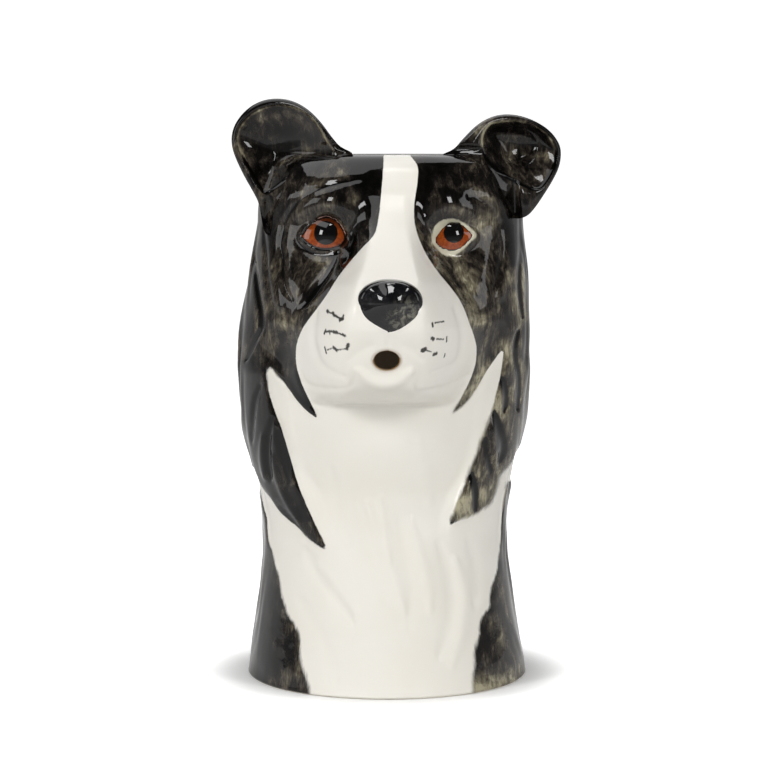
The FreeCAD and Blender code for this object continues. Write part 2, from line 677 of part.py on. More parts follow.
def write_parts(subparts):
    """Checks every object and writes each sub-part's solid."""
    for thing in DOC.Objects:
        if any(word in thing.State for word in ("Invalid", "Error")):
            raise ValueError(f"{thing.Name} did not build: {thing.State}")
    os.makedirs(PARTS_FOLDER, exist_ok=True)
    for thing in subparts:
        shape = thing.Shape
        if shape.isNull() or not shape.isValid() or len(shape.Solids) != 1:
            raise ValueError(f"{thing.Label} is not one sound solid")
        shape.exportStep(f"{PARTS_FOLDER}/{thing.Label}.step")


def main():
    fill_sheet()
    head = Head()
    casting = feature("HeadCasting", skin_solid(outer_rows(head) + inner_rows(head)))
    core = feature("HeadCore", skin_solid(core_rows(head)))
    left_eye, left_socket = eye("left", casting, head, -1)
    right_eye, right_socket = eye("right", casting, head, 1)
    openings = fuse("Openings", [pour_hole(head), foot_recess(), left_socket, right_socket])
    subparts = [
        finished("vessel", cut("Vessel", casting, openings)),
        finished("left_ear", trimmed("LeftEar", ear("left", head, -1), casting, core)),
        finished("right_ear", trimmed("RightEar", ear("right", head, 1), casting, core)),
        finished("handle", trimmed("Handle", handle(head), casting, core)),
        finished("nose", trimmed("Nose", nose(casting, head), casting, core)),
        finished("left_eye", left_eye),
        finished("right_eye", right_eye),
    ]
    write_parts(subparts)


main()
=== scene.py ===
import math

import bmesh
import bpy
import numpy as np
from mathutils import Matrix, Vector
from mathutils.bvhtree import BVHTree


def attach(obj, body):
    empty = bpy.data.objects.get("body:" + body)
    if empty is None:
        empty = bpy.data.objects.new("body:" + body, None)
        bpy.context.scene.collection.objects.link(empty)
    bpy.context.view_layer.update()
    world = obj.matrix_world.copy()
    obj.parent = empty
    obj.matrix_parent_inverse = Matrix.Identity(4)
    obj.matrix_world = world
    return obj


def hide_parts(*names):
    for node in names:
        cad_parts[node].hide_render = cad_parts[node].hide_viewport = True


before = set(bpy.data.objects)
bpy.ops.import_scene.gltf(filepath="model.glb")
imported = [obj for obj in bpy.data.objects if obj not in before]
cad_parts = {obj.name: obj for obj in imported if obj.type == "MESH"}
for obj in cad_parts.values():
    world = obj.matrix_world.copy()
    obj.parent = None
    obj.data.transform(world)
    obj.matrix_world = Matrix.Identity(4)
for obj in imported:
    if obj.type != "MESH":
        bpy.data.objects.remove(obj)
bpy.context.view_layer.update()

# Shapes are worked out in millimetres, and a piece's mesh is made in metres.
MM = 0.001

# The camera: its place in millimetres, its tilt in degrees and its focal length in pixels.
FRAME_PIXELS = 768
FRAME_MIDDLE = FRAME_PIXELS / 2
CAMERA_PLACE = (-1.1, -950.0, 196.0)
CAMERA_TILT = 5.375
FOCAL_PIXELS = 2604.0
SENSOR_WIDTH = 36.0

# Levels of the head from the foot up, with half widths, half depths and the sideways lean.
WAIST, CHEST, RUFF, TEMPLE, RIM = 57.0, 97.0, 122.0, 166.0, 190.5
FOOT_RADIUS = 51.3
HALF_WIDTHS = ((0.0, FOOT_RADIUS), (WAIST, 44.6), (CHEST, 52.1), (RUFF, 53.2), (TEMPLE, 48.4))
HALF_DEPTHS = ((0.0, FOOT_RADIUS), (WAIST, 45.0), (CHEST, 51.5), (RUFF, 52.0), (TEMPLE, 46.0))
CROWN_HALF_WIDTH, CROWN_HALF_DEPTH, CROWN_SETBACK = 39.0, 35.0, 2.5
SWAYS = ((0.0, 0.0), (CHEST, -1.3), (TEMPLE, 1.2))
WALL, FLOOR, LIP_ROUND, FOOT_ROUND, FOOT_RING, FOOT_RECESS = 5.0, 6.5, 1.6, 1.6, 9.0, 1.5
MANE_RELIEF, MANE_EDGE = 4.0, 7.5
MANE_EDGE_ANGLES = (
    (0.0, 29.0),
    (0.45, 29.0),
    (0.57, 35.0),
    (0.65, 42.0),
    (0.80, 46.0),
    (1.0, 52.0),
)
MANE_RELIEF_SHARES = ((0.0, 0.0), (0.42, 0.0), (0.60, 1.0), (0.93, 1.0), (1.08, 0.0))
CHIN, STOP = 103.0, 177.0
MUZZLE_LENGTH, MUZZLE_HALF_WIDTH = 29.0, 31.5
MUZZLE_PROFILE = (
    (0.000, 0.00),
    (0.034, 0.42),
    (0.075, 0.68),
    (0.125, 0.82),
    (0.190, 0.88),
    (0.330, 0.93),
    (0.480, 1.00),
    (0.578, 0.93),
    (0.686, 0.62),
    (0.805, 0.30),
    (0.914, 0.10),
    (1.000, 0.00),
)
MUZZLE_WIDTHS = (
    (0.00, 0.78),
    (0.08, 0.90),
    (0.19, 1.00),
    (0.35, 0.98),
    (0.46, 0.90),
    (0.57, 0.76),
    (0.68, 0.58),
    (0.81, 0.42),
    (1.00, 0.34),
)
MUZZLE_FLAT, MUZZLE_FOOT = 0.38, 1.16

# Forms on each side of the face: (distance from the middle, level, reach, height).
FACE_FORMS = ((22.0, 172.0, 9.0, 2.6), (22.0, 163.0, 11.0, -3.6), (34.0, 139.0, 12.0, 2.4))

# Engraved locks round the sides and back: their number, the degrees from the front between which
# they begin, and the levels between which the long and the short ones come and go.
LOCKS = 30
LOCKS_BEGIN = (66, 84)
LONG_LOCKS, SHORT_LOCKS = (60, 72, 148, 172), (4, 14, 50, 62)
LONG_LOCK_DEPTH, SHORT_LOCK_DEPTH = 1.3, 0.7

# Degrees from the front between which relief, coat and brush strokes change to those of the sides.
RELIEF_ENDS, COAT_ENDS, STROKES_END = (72, 86), (70, 86), (62, 104)
FACE_ENDS = 75

# The coat stands a little proud of the white between these levels.
COAT_STEP, COAT_STEP_LEVELS = 0.9, (44, 54, 112, 121)
# The glaze's slow waves, and the level above which the relief dies out towards the rim.
WAVES, RELIEF_TOP = 0.12, 186


def eased(value, table):
    """A smooth curve through (place, value) pairs that never overshoots between two of them."""
    places, values = np.array(table, float).T
    slopes = np.diff(values) / np.diff(places)
    product = slopes[:-1] * slopes[1:]
    total = np.where(product > 0, slopes[:-1] + slopes[1:], 1.0)
    inner = np.where(product > 0, 2 * product / total, 0.0)
    tangents = np.concatenate([slopes[:1], inner, slopes[-1:]])
    value = np.clip(value, places[0], places[-1])
    i = np.clip(np.searchsorted(places, value, side="right") - 1, 0, len(slopes) - 1)
    span = places[i + 1] - places[i]
    t = (value - places[i]) / span
    rise = values[i + 1] - values[i]
    return (
        values[i]
        + tangents[i] * span * t
        + (3 * rise - span * (2 * tangents[i] + tangents[i + 1])) * t**2
        + (span * (tangents[i] + tangents[i + 1]) - 2 * rise) * t**3
    )


def faded(value, start, end):
    """0 before start, 1 after end, and smooth between them."""
    t = np.clip((value - start) / (end - start), 0.0, 1.0)
    return t * t * (3 - 2 * t)


def band(value, rise_start, rise_end, fall_start, fall_end):
    """1 from the end of the rise to the start of the fall, and 0 outside both."""
    return faded(value, rise_start, rise_end) * (1 - faded(value, fall_start, fall_end))


def ring(level):
    """Half width, half depth and set-back of the head at each level."""
    dome = np.sqrt(np.clip(1 - (np.clip(level - TEMPLE, 0, None) / (RIM - TEMPLE)) ** 2, 0, 1))
    width = CROWN_HALF_WIDTH + dome * (eased(level, HALF_WIDTHS) - CROWN_HALF_WIDTH)
    depth = CROWN_HALF_DEPTH + dome * (eased(level, HALF_DEPTHS) - CROWN_HALF_DEPTH)
    return width, depth, CROWN_SETBACK * faded(level, RUFF, RIM)


def mane(angle, level):
    """How far the chest lies under the mane."""
    share = level / RUFF
    softness = math.degrees(MANE_EDGE / HALF_WIDTHS[3][1])
    edge = eased(share, MANE_EDGE_ANGLES)
    off_front = np.degrees(np.arccos(np.clip(np.cos(angle), -1, 1)))
    bare = 1 - faded(off_front, edge - softness / 2, edge + softness / 2)
    return MANE_RELIEF * bare * eased(share, MANE_RELIEF_SHARES)


def muzzle(x, level, inset):
    """How far the muzzle stands off the face."""
    low, high = CHIN + inset, STOP - inset
    share = np.clip((level - low) / (high - low), 0, 1)
    half_width = MUZZLE_HALF_WIDTH * eased(share, MUZZLE_WIDTHS) - inset
    across = 1 - faded(np.abs(x) / half_width, MUZZLE_FLAT, MUZZLE_FOOT)
    return MUZZLE_LENGTH * eased(share, MUZZLE_PROFILE) * across


def skin(angle, level, inset):
    """Points of the casting's skin, drawn in by inset. Angle 0 is the front."""
    half_width, half_depth, setback = ring(level)
    drawn = inset + mane(angle, level)
    x = (half_width - drawn) * np.sin(angle)
    y = setback - (half_depth - drawn) * np.cos(angle)
    y = y - np.where(np.cos(angle) > 0, muzzle(x, level, inset), 0.0)
    return np.stack([x + eased(level, SWAYS), y, level + 0 * angle], axis=-1)


def seen_at(points):
    """Pixel of the 768 pixel frame at which the camera sees each point."""
    tilt = math.radians(CAMERA_TILT)
    away = points - np.array(CAMERA_PLACE)
    depth = away[..., 1] * math.cos(tilt) - away[..., 2] * math.sin(tilt)
    up = away[..., 2] * math.cos(tilt) + away[..., 1] * math.sin(tilt)
    right = FRAME_MIDDLE + FOCAL_PIXELS * away[..., 0] / depth
    return right, FRAME_MIDDLE - FOCAL_PIXELS * up / depth


def off_line(u, v, points):
    """Distance to an open line of points, and the share of the line passed at the nearest place."""
    points = np.array(points, float)
    lengths = np.hypot(*np.diff(points, axis=0).T)
    before = np.concatenate([[0], np.cumsum(lengths)])
    best, where = np.full(np.shape(u), 1e9), np.zeros(np.shape(u))
    for k, length in enumerate(lengths):
        du, dv = (points[k + 1] - points[k]) / length
        along = np.clip((u - points[k][0]) * du + (v - points[k][1]) * dv, 0, length)
        away = np.hypot(u - points[k][0] - along * du, v - points[k][1] - along * dv)
        nearer = away < best
        best = np.where(nearer, away, best)
        where = np.where(nearer, (before[k] + along) / before[-1], where)
    return best, where


def inside_by(u, v, points):
    """Signed distance to a closed outline: positive inside it."""
    closed = list(points) + [points[0]]
    away, _ = off_line(u, v, closed)
    odd = np.zeros(np.shape(u), bool)
    for (u0, v0), (u1, v1) in zip(closed, closed[1:]):
        if v0 != v1:
            crosses = (v0 > v) != (v1 > v)
            odd ^= crosses & (u < (u1 - u0) * (v - v0) / (v1 - v0) + u0)
    return np.where(odd, away, -away)


def quarter_points(starts, ends):
    """The points a quarter of the way in from both ends of each side."""
    pairs = [0.75 * starts + 0.25 * ends, 0.25 * starts + 0.75 * ends]
    return np.stack(pairs, axis=1).reshape(-1, 2)


def smooth_outline(points):
    """A closed outline with its corners cut twice, so that its edge runs in curves."""
    points = np.array(points, float)
    for _ in range(2):
        points = quarter_points(points, np.roll(points, -1, axis=0))
    return [tuple(point) for point in points]


def smooth_line(points):
    """An open line with its corners cut twice, and its ends kept."""
    points = np.array(points, float)
    for _ in range(2):
        middle = quarter_points(points[:-1], points[1:])
        points = np.concatenate([points[:1], middle[1:-1], points[-1:]])
    return [tuple(point) for point in points]


# Places on the head are given as pixels of the 768 pixel frame, as the camera sees them.
PIXELS_PER_MM = 2.74
BLAZE_LEFT = (
    (384, 120), (384, 152), (383, 173), (380, 207), (378, 223), (375, 235), (363, 247), (353, 258),
    (337, 278), (325, 298), (312, 315), (303, 327), (297, 341), (295.5, 355), (296.5, 367),
    (302, 385), (310.5, 402),
)
BLAZE_RIGHT = (
    (407.5, 120), (407.5, 152), (414, 160), (418.5, 167), (417.5, 183), (414, 203), (414, 220),
    (418, 238), (428, 258), (440, 275), (453, 290), (463, 305), (470, 325), (476, 341.5),
    (476.7, 355), (475, 367), (470, 380.5), (462, 396),
)
CHEEK_LOCK_LEFT = (
    (318, 418), (314.5, 417), (305.5, 410), (295.5, 399), (288.5, 388), (275.5, 374),
    (267.6, 364.4),
)
CHEEK_LOCK_RIGHT = (
    (451.7, 414), (455.5, 411.5), (466.5, 403), (476.7, 388.7), (485.5, 372.5), (495, 358.5),
    (503.8, 347.6),
)
RUFF_INNER_LEFT = (
    (267.6, 387.4), (273.6, 408), (283.6, 433.5), (295.6, 477), (303.6, 499), (315.6, 525),
    (327.5, 548.5),
)
RUFF_INNER_RIGHT = (
    (503, 359.3), (500, 378.4), (495.7, 396), (490.6, 416.5), (482.5, 434), (476, 454.7),
    (468.6, 470.8), (462, 488.4), (454.7, 506), (448.8, 526.6),
)
RUFF_OUTER_LEFT = (
    (321.6, 548.5), (309.6, 540), (297.6, 527), (289.6, 521), (278.6, 511), (273.6, 502),
    (261.6, 487), (230, 455),
)
RUFF_OUTER_RIGHT = (
    (451, 524.5), (462, 519), (471.5, 517), (484, 509), (492, 502.4), (496.5, 492.8),
    (499.4, 478.2), (503, 472.3), (510.4, 466.4), (516.3, 457.6), (545, 430),
)
RUFF_LEFT = RUFF_INNER_LEFT + RUFF_OUTER_LEFT
RUFF_RIGHT = RUFF_INNER_RIGHT + RUFF_OUTER_RIGHT
COAT_LEFT = BLAZE_LEFT + CHEEK_LOCK_LEFT + RUFF_LEFT + ((180, 455), (180, 120))
COAT_RIGHT = BLAZE_RIGHT + CHEEK_LOCK_RIGHT + RUFF_RIGHT + ((600, 430), (600, 120))
BASE_LEFT = (
    (265.5, 511), (266.5, 530), (269, 543), (273, 552), (274.3, 563), (278.5, 574.6), (280.5, 586),
    (281.5, 595), (285, 604.6), (286.5, 614), (294.6, 624), (298.5, 632), (300.5, 644.6),
    (299.5, 655), (303, 668), (307, 678), (309, 689), (309, 700), (308, 730), (180, 730),
    (180, 511),
)
BASE_RIGHT = (
    (505.5, 478), (505.6, 490), (504.5, 506), (502.5, 524), (500.7, 540), (497.6, 563), (496, 575),
    (492, 584.6), (489, 598.5), (490, 607.7), (483.8, 613.8), (480.2, 620), (479, 627.7),
    (480, 634), (476, 641.5), (474.2, 650.8), (475.3, 663), (472.7, 675.4), (472.2, 687.7),
    (472, 730), (600, 730), (600, 478),
)
# White collar that runs round the sides: (degrees from the front, level in millimetres).
COLLAR_LEFT = (
    (40, 84), (87, 77.5), (104, 71.5), (124, 64.5), (104, 65), (87, 68.5), (40, 66),
)
COLLAR_RIGHT = (
    (40, 96), (87, 86), (104, 76), (122, 65), (104, 66), (87, 72.6), (40, 70),
)
MM_PER_DEGREE = 0.9

LEFT_EYE = (
    (300.5, 236), (303, 234.5), (308.5, 226.5), (315, 221), (322, 217.8), (330, 217.3),
    (336.8, 221), (342.4, 228.5), (345, 235), (344, 242), (337.5, 246.8), (327, 249.2),
    (315.5, 247.6), (307, 242.3),
)
RIGHT_EYE = (
    (434.7, 240), (438.5, 233), (444.5, 226), (450, 223), (456, 222.8), (462.5, 225), (468, 230),
    (473.6, 235.4), (468, 241.5), (462, 248), (454, 250.8), (445, 249.6), (438, 246),
)
EYE_RING = (
    (431.5, 236), (434, 226), (441, 220), (452, 217.5), (462, 221), (470, 227), (479, 235.5),
    (470, 243), (463, 250), (453, 257.5), (444, 256), (436, 249), (432, 243),
)

# Modelled lines: (points, half width in pixels, height in millimetres, below zero for a groove).
RELIEF = (
    # edge of the face round each eye, with the mane's ridge outside it
    (((360, 179), (330, 185), (315, 191), (302, 198), (287.5, 215), (282, 233), (280, 247),
     (283, 257), (282, 273), (285, 290), (292, 300)), 2.6, -0.5),
    (((290, 196), (276, 212), (270, 233), (269, 257), (272, 283), (281, 306)), 9.5, 0.7),
    (((264, 226), (267, 250), (268, 276), (273, 305)), 2.6, -0.55),
    (((252, 250), (257, 285), (263, 324), (255.5, 338), (246, 360)), 2.6, -0.8),
    (((467, 195), (487, 203), (497, 218), (503, 240), (501, 268), (494, 290)), 2.6, -0.4),
    (((487, 193), (504, 209), (512, 238), (510, 268), (500, 296)), 9.5, 0.6),
    (((520, 215), (522, 245), (518, 280), (523, 318)), 2.8, -0.7),
    # brows, under the eyes and down the cheeks
    (((300, 214), (314, 203), (334, 202), (350, 211)), 9, 0.7),
    (((428, 220), (444, 206), (462, 208), (478, 220)), 9, 0.6),
    (((296, 241), (306, 250), (318, 255), (330, 256), (340, 252)), 2.6, -0.45),
    (((339, 249), (334, 262), (327, 276), (312, 298), (300, 309)), 2.6, -0.7),
    (((438, 255), (447, 267), (457, 283), (467, 303)), 3.4, -0.35),
    (((352, 232), (352, 250), (346, 262)), 5, -0.35),
    (((426, 236), (426, 252), (431, 264)), 5, -0.3),
    # whisker pads, jaw and lips
    (((316, 311), (313, 330), (313, 345), (321, 368), (345, 378)), 3.6, -0.55),
    (((455, 308), (462, 326), (463, 345), (458, 365), (432, 373)), 3.6, -0.5),
    (((299, 372), (305, 388), (352, 391), (353, 378)), 2.4, -0.35),
    (((475, 372), (452, 386), (430, 391), (415, 394), (413, 385)), 2.4, -0.35),
    (((388, 333), (388, 352)), 2.2, -0.3),
    (((358, 371), (367, 381), (384, 385.5), (401, 382), (411, 371)), 6, 1.5),
    (((350, 360), (357, 352), (372, 346)), 5, -0.35),
    (((423, 360), (416, 352), (402, 346)), 5, -0.35),
    # locks of the mane
    (((261, 385), (255.6, 399), (253.6, 415), (252.6, 440)), 2.4, -0.8),
    (((272.6, 419), (269, 438), (267.6, 459), (271, 478)), 3.0, -0.9),
    (((276.6, 431), (283, 460), (290, 482)), 2.4, -0.8),
    (((264, 436), (262.6, 459), (266, 478)), 3.0, 0.7),
    (((274.6, 455), (276.6, 473), (285, 496), (300, 520)), 3.2, 0.8),
    (((275, 501), (296, 523), (302, 536), (316, 545)), 2.2, -0.6),
    (((519, 330), (514, 352), (519, 380), (517, 410)), 2.6, -0.8),
    (((502, 378), (507, 396), (504, 412)), 3.0, -0.7),
    (((494, 412), (499, 430), (504, 446), (499, 462)), 4.0, -0.9),
    (((484, 436), (487, 456), (491, 474)), 2.8, -0.7),
    (((490, 420), (492, 445), (494, 470)), 3.0, 0.6),
    (((470, 472), (476, 492), (475, 512)), 3.2, -0.8),
    (((463, 490), (466, 504), (462, 516)), 3.0, 0.5),
    # soft locks on the chest
    (((368, 505), (378, 532), (393, 574), (404, 610)), 6.5, 0.75),
    (((381, 500), (385, 530), (390, 560)), 5, 0.7),
    (((410, 520), (418, 548), (428, 580), (430, 610)), 6.5, 0.65),
    (((400, 520), (405, 560), (412, 590), (410, 630)), 6, -0.4),
    (((356, 500), (364, 530), (374, 566), (384, 600)), 7, -0.4),
    (((306, 552), (322, 579), (340, 601), (352, 622)), 7, -0.9),
    (((318, 566), (338, 592), (356, 612)), 6, 0.6),
    (((330, 470), (337, 511), (350, 548)), 7, -0.5),
    (((440, 545), (452, 580), (452, 620), (440, 655)), 8, -0.7),
    (((455, 560), (466, 592), (462, 630), (452, 665)), 7, 0.6),
    (((470, 540), (478, 575), (474, 605)), 6, -0.5),
    (((420, 440), (424, 470), (430, 500)), 8, 0.4),
    (((300, 600), (316, 628), (330, 655), (336, 685)), 8, -0.5),
)

# Brush strokes in the coat: (points, half width in pixels, how much lighter, below zero is darker).
STROKES = (
    (((517, 214), (518, 228), (516, 244), (514, 262)), 9, -1.5),
    (((505, 214), (508, 222), (510, 232)), 7, -0.8),
    (((351, 190), (353, 204)), 7, 0.75),
    (((340, 197), (341, 199)), 6, -0.5),
    (((300, 215), (316, 206), (330, 206)), 3.5, 0.6),
    (((365, 165), (372, 200), (366, 232)), 9, -0.55),
    (((294, 187), (318, 174)), 9, 0.45),
    (((300, 262), (304, 280)), 9, 0.4),
    (((326, 262), (312, 285)), 9, 0.15),
    (((345, 235), (347, 262)), 6, -0.5),
    (((258, 260), (262, 300), (258, 330)), 6, 0.35),
    (((274, 215), (266, 240)), 5, -0.5),
    (((250, 350), (250, 420)), 6, -0.25),
    (((272, 372), (290, 386)), 7, 0.5),
    (((262, 330), (285, 350)), 9, 0.1),
    (((275, 455), (286, 492)), 4, 0.6),
    (((263, 440), (266, 470)), 3.5, 0.5),
    (((270, 420), (268, 470)), 5, -0.5),
    (((296, 500), (318, 542)), 6, -0.1),
    (((480, 188), (494, 198)), 7, 0.7),
    (((455, 208), (470, 212)), 6, 0.55),
    (((488, 215), (490, 260)), 11, 0.35),
    (((470, 272), (474, 292)), 8, 0.95),
    (((458, 268), (464, 280)), 6, 0.6),
    (((500, 290), (492, 330)), 12, 0.25),
    (((521, 258), (524, 320)), 8, 0.75),
    (((516, 226), (517, 248)), 9, -0.7),
    (((428, 165), (428, 215)), 9, -0.6),
    (((440, 190), (470, 198)), 7, -0.5),
    (((500, 340), (514, 362)), 9, 0.75),
    (((498, 385), (512, 400)), 8, 0.45),
    (((501, 380), (506, 394)), 3.5, -0.9),
    (((494, 414), (499, 432), (503, 455)), 6.5, -1.0),
    (((485, 440), (488, 468)), 3.5, -0.6),
    (((480, 430), (484, 480), (476, 520)), 10, 0.45),
    (((470, 474), (476, 490), (477, 512)), 5, -1.0),
    (((460, 500), (454, 520)), 6, 0.4),
    (((525, 340), (520, 440)), 6, -0.2),
    (((476, 345), (470, 385)), 7, -0.2),
    (((496, 345), (480, 375)), 6, 0.1),
    (((262, 560), (266, 610)), 6, 0.1),
    (((284, 625), (296, 680)), 7, -0.15),
    (((506, 560), (500, 640)), 9, 0.25),
    (((345, 155), (380, 158)), 6, -0.15),
    (((318, 150), (300, 175)), 6, -0.35),
)


def face_forms(x, level, angle):
    """Brows, hollows of the eyes and cheeks, as on the casting."""
    forms = 0.0
    for middle_x, middle_level, reach, height in FACE_FORMS:
        off = (np.abs(x) - middle_x) ** 2 + (level - middle_level) ** 2
        forms = forms + height * np.exp(-(off / reach**2))
    return forms * faded(np.cos(angle), 0.0, 0.5)


def mane_locks(angle, level):
    """Long wavy locks engraved in the mane round the sides and the back."""
    place = LOCKS / 2 * angle / math.pi
    place = place + 0.45 * np.sin(level / 12 + 1.4 * np.sin(3 * angle))
    place = place + 0.2 * np.sin(level / 6.1 + 13 * angle)
    lock = np.floor(place)
    crest = np.abs(np.sin(math.pi * place)) ** 1.3
    strength = 0.7 + 0.3 * np.sin(level / 9 + 2 * math.pi * 11 / LOCKS * lock)
    begun = faded(np.degrees(np.abs(angle)), *LOCKS_BEGIN)
    long_locks = LONG_LOCK_DEPTH * begun * band(level, *LONG_LOCKS)
    short_locks = SHORT_LOCK_DEPTH * begun * band(level, *SHORT_LOCKS)
    return (crest * strength - 0.6) * (long_locks + short_locks)


def drawn_lines(u, v, lines):
    """Height or tone of a table of drawn lines at each pixel place.

    Each is full on its line, fades out over its half width and is tapered at its ends.
    """
    total = 0.0
    for points, half_width, amount in lines:
        away, share = off_line(u, v, smooth_line(points))
        taper = np.clip(np.minimum(share, 1 - share) / 0.18, 0, 1) * 0.5 + 0.5
        total = total + amount * np.exp(-((away / (half_width * taper)) ** 2))
    return total


def coat_front(u, v):
    """Signed distance in millimetres to the black coat, as the camera sees it: above zero is black."""
    outlines = (COAT_LEFT, COAT_RIGHT, BASE_LEFT, BASE_RIGHT)
    shapes = [inside_by(u, v, smooth_outline(outline)) for outline in outlines]
    return np.max(shapes, axis=0) / PIXELS_PER_MM


def coat(points, angle):
    """Signed distance to the black coat all round the head."""
    degrees = np.degrees(angle)
    around = faded(np.abs(degrees), *COAT_ENDS)
    sides = []
    for sign, collar in ((-1, COLLAR_LEFT), (1, COLLAR_RIGHT)):
        outline = smooth_outline([(MM_PER_DEGREE * off_front, level) for off_front, level in collar])
        sides.append(-inside_by(sign * degrees * MM_PER_DEGREE, points[..., 2], outline))
    side = np.where(degrees < 0, sides[0], sides[1])
    return (1 - around) * coat_front(*seen_at(points)) + around * side


# The pouring hole, and the eyes: (place of the middle, side, outline of the lids).
POUR_MIDDLE = (-0.2, 121.7)
POUR_RADII = (4.5, 3.45)
EYES = {"left_eye": ((-22.0, 163.3), -1, LEFT_EYE), "right_eye": ((23.3, 162.8), 1, RIGHT_EYE)}
EYE_BALL, EYE_CLEARANCE, EYE_PROUD = 15.0, 0.25, 1.5
EYE_TURN, EYE_LIFT = 14.0, 16.0
CORNEA, CORNEA_REACH = 0.4, 5.2
LID, LID_MIDDLE, LID_WIDTH, SOCKET_DEPTH = 0.25, 0.75, 0.8, 2.2

# Columns of the head's mesh, how much they crowd at the front, and the hole's share of the mesh.
HEAD_COLUMNS = 300
CROWDING = 0.42
HOLE_COLUMNS, HOLE_ROWS = 8, 6
HOLE_REACH = 2.6
# Rows on the foot's recess, the skin up to the chest, up to the temples and over the crown, and
# inside on the crown, above the hole, beside it, below it and on the floor.
RECESS_ROWS, LOWER_ROWS, UPPER_ROWS, CROWN_ROWS = 9, 74, 98, 34
INNER_CROWN_ROWS, INNER_UPPER_ROWS, INNER_HOLE_ROWS, INNER_LOWER_ROWS, FLOOR_ROWS = 12, 16, 18, 30, 7
INNER_HOLE_TOP, INNER_HOLE_LOW = 129.0, 114.0
# The foot ring's inner corner: (how far out from the recess, height).
RING_CORNER = ((0.0, 1.2), (0.5, 0.3), (1.2, 0.0), (4.0, 0.0))
# The lip rolled into the pouring hole: (share of the hole's radii, depth in millimetres).
POUR_LIP = ((0.985, 0.15), (0.955, 0.55), (0.935, 1.3), (0.93, 2.6))


def head_rows():
    """Rows of the head's skin, from the middle of the foot, over the rim, to the middle of the floor.

    Each row is (level of the skin, how far it is drawn in, height or None for the level itself,
    1 inside).
    """
    recess = np.linspace(FOOT_RADIUS, FOOT_RING + 0.8, RECESS_ROWS)
    rows = [(0.0, inset, FOOT_RECESS, 0) for inset in recess]
    rows += [(0.0, FOOT_RING - out, height, 0) for out, height in RING_CORNER]
    for turn in np.radians((0, 25, 50, 75)):
        rows.append((0.0, FOOT_ROUND * (1 - math.sin(turn)), FOOT_ROUND * (1 - math.cos(turn)), 0))
    lower = np.linspace(FOOT_ROUND, CHEST, LOWER_ROWS, endpoint=False)
    upper = np.linspace(CHEST, TEMPLE, UPPER_ROWS, endpoint=False)
    rows += [(level, 0.0, None, 0) for level in (*lower, *upper)]
    for turn in np.linspace(0, math.pi / 2, CROWN_ROWS):
        rows.append((TEMPLE + (RIM - TEMPLE) * math.sin(turn), 0.0, None, 0))
    for turn in np.radians((22, 45, 67, 90)):
        height = RIM - 2 * LIP_ROUND * (1 - math.cos(turn))
        rows.append((RIM, 2 * LIP_ROUND * math.sin(turn), height, 1))
    for turn in np.linspace(math.pi / 2 - 0.2, 0, INNER_CROWN_ROWS):
        source = TEMPLE + (RIM - TEMPLE) * math.sin(turn)
        rows.append((source, WALL, TEMPLE - WALL + (RIM - TEMPLE - LIP_ROUND) * math.sin(turn), 1))
    above = np.linspace(TEMPLE - WALL - 1.5, INNER_HOLE_TOP, INNER_UPPER_ROWS, endpoint=False)
    beside = np.linspace(INNER_HOLE_TOP, INNER_HOLE_LOW, INNER_HOLE_ROWS, endpoint=False)
    below = np.linspace(INNER_HOLE_LOW, FLOOR + WALL, INNER_LOWER_ROWS)
    rows += [(level, WALL, None, 1) for level in (*above, *beside, *below)]
    source = FLOOR + WALL / 2
    rows += [(source, WALL * (1.2 + 0.3 * k), source - 0.8 * k, 1) for k in range(3)]
    floor_insets = np.linspace(2.2 * WALL, FOOT_RADIUS - 0.1, FLOOR_ROWS)
    rows += [(source, inset, FLOOR, 1) for inset in floor_insets]
    return rows


def opened(angle, level, inset, middle_row):
    """Angles and levels with the rows and columns round the pouring hole drawn into circles."""
    points = skin(angle, level, inset)
    r = np.arange(level.shape[0])[:, None] - middle_row
    c = np.arange(level.shape[1])[None, :] - HEAD_COLUMNS // 2
    square = np.maximum(np.abs(r) / HOLE_ROWS, np.abs(c) / HOLE_COLUMNS)
    near = (square <= HOLE_REACH) & (square > 0)
    lean = np.where(square > 0, square, 1)
    # The row order runs up outside and down inside.
    up = np.sign(level[middle_row + 1, 0] - level[middle_row, 0])
    turn = np.arctan2(up * r / HOLE_ROWS / lean, c / HOLE_COLUMNS / lean)
    round_x = POUR_RADII[0] * square * np.cos(turn)
    round_z = POUR_RADII[1] * square * np.sin(turn)
    weight = np.where(near, 1 - faded(square, 1.15, HOLE_REACH), 0.0)
    x = points[..., 0] * (1 - weight) + weight * (POUR_MIDDLE[0] + round_x)
    z = points[..., 2] * (1 - weight) + weight * (POUR_MIDDLE[1] + round_z)
    for _ in range(3):
        drawn = inset + mane(angle, z)
        half_width = np.where(weight > 0, ring(z)[0] - drawn, 1.0)
        target = np.clip((x - eased(z, SWAYS)) / half_width, -0.999, 0.999)
        angle = np.where(weight > 0, np.arcsin(target), angle)
    return angle, np.where(weight > 0, z, level)


def head_surface(angle, level, inset):
    """The casting's skin with the forms of the face on it."""
    points = skin(angle, level, inset)
    points[..., 1] -= face_forms(points[..., 0] - eased(level, SWAYS), level, angle)
    return points


def outward(points):
    """Outward direction at each point of a grid of rows and columns that closes on itself."""
    across = np.roll(points, -1, axis=1) - np.roll(points, 1, axis=1)
    across[:, 0] = points[:, 1] - points[:, -2]
    across[:, -1] = across[:, 0]
    along = np.gradient(points, axis=0)
    normal = np.cross(across, along)
    length = np.linalg.norm(normal, axis=-1, keepdims=True)
    return normal / np.where(length > 1e-9, length, 1)


def eye_direction(sign):
    """The way an eye faces: outwards and a little up."""
    turn, lift = math.radians(EYE_TURN), math.radians(EYE_LIFT)
    flat = math.cos(lift)
    return np.array([sign * math.sin(turn) * flat, -math.cos(turn) * flat, math.sin(lift)])


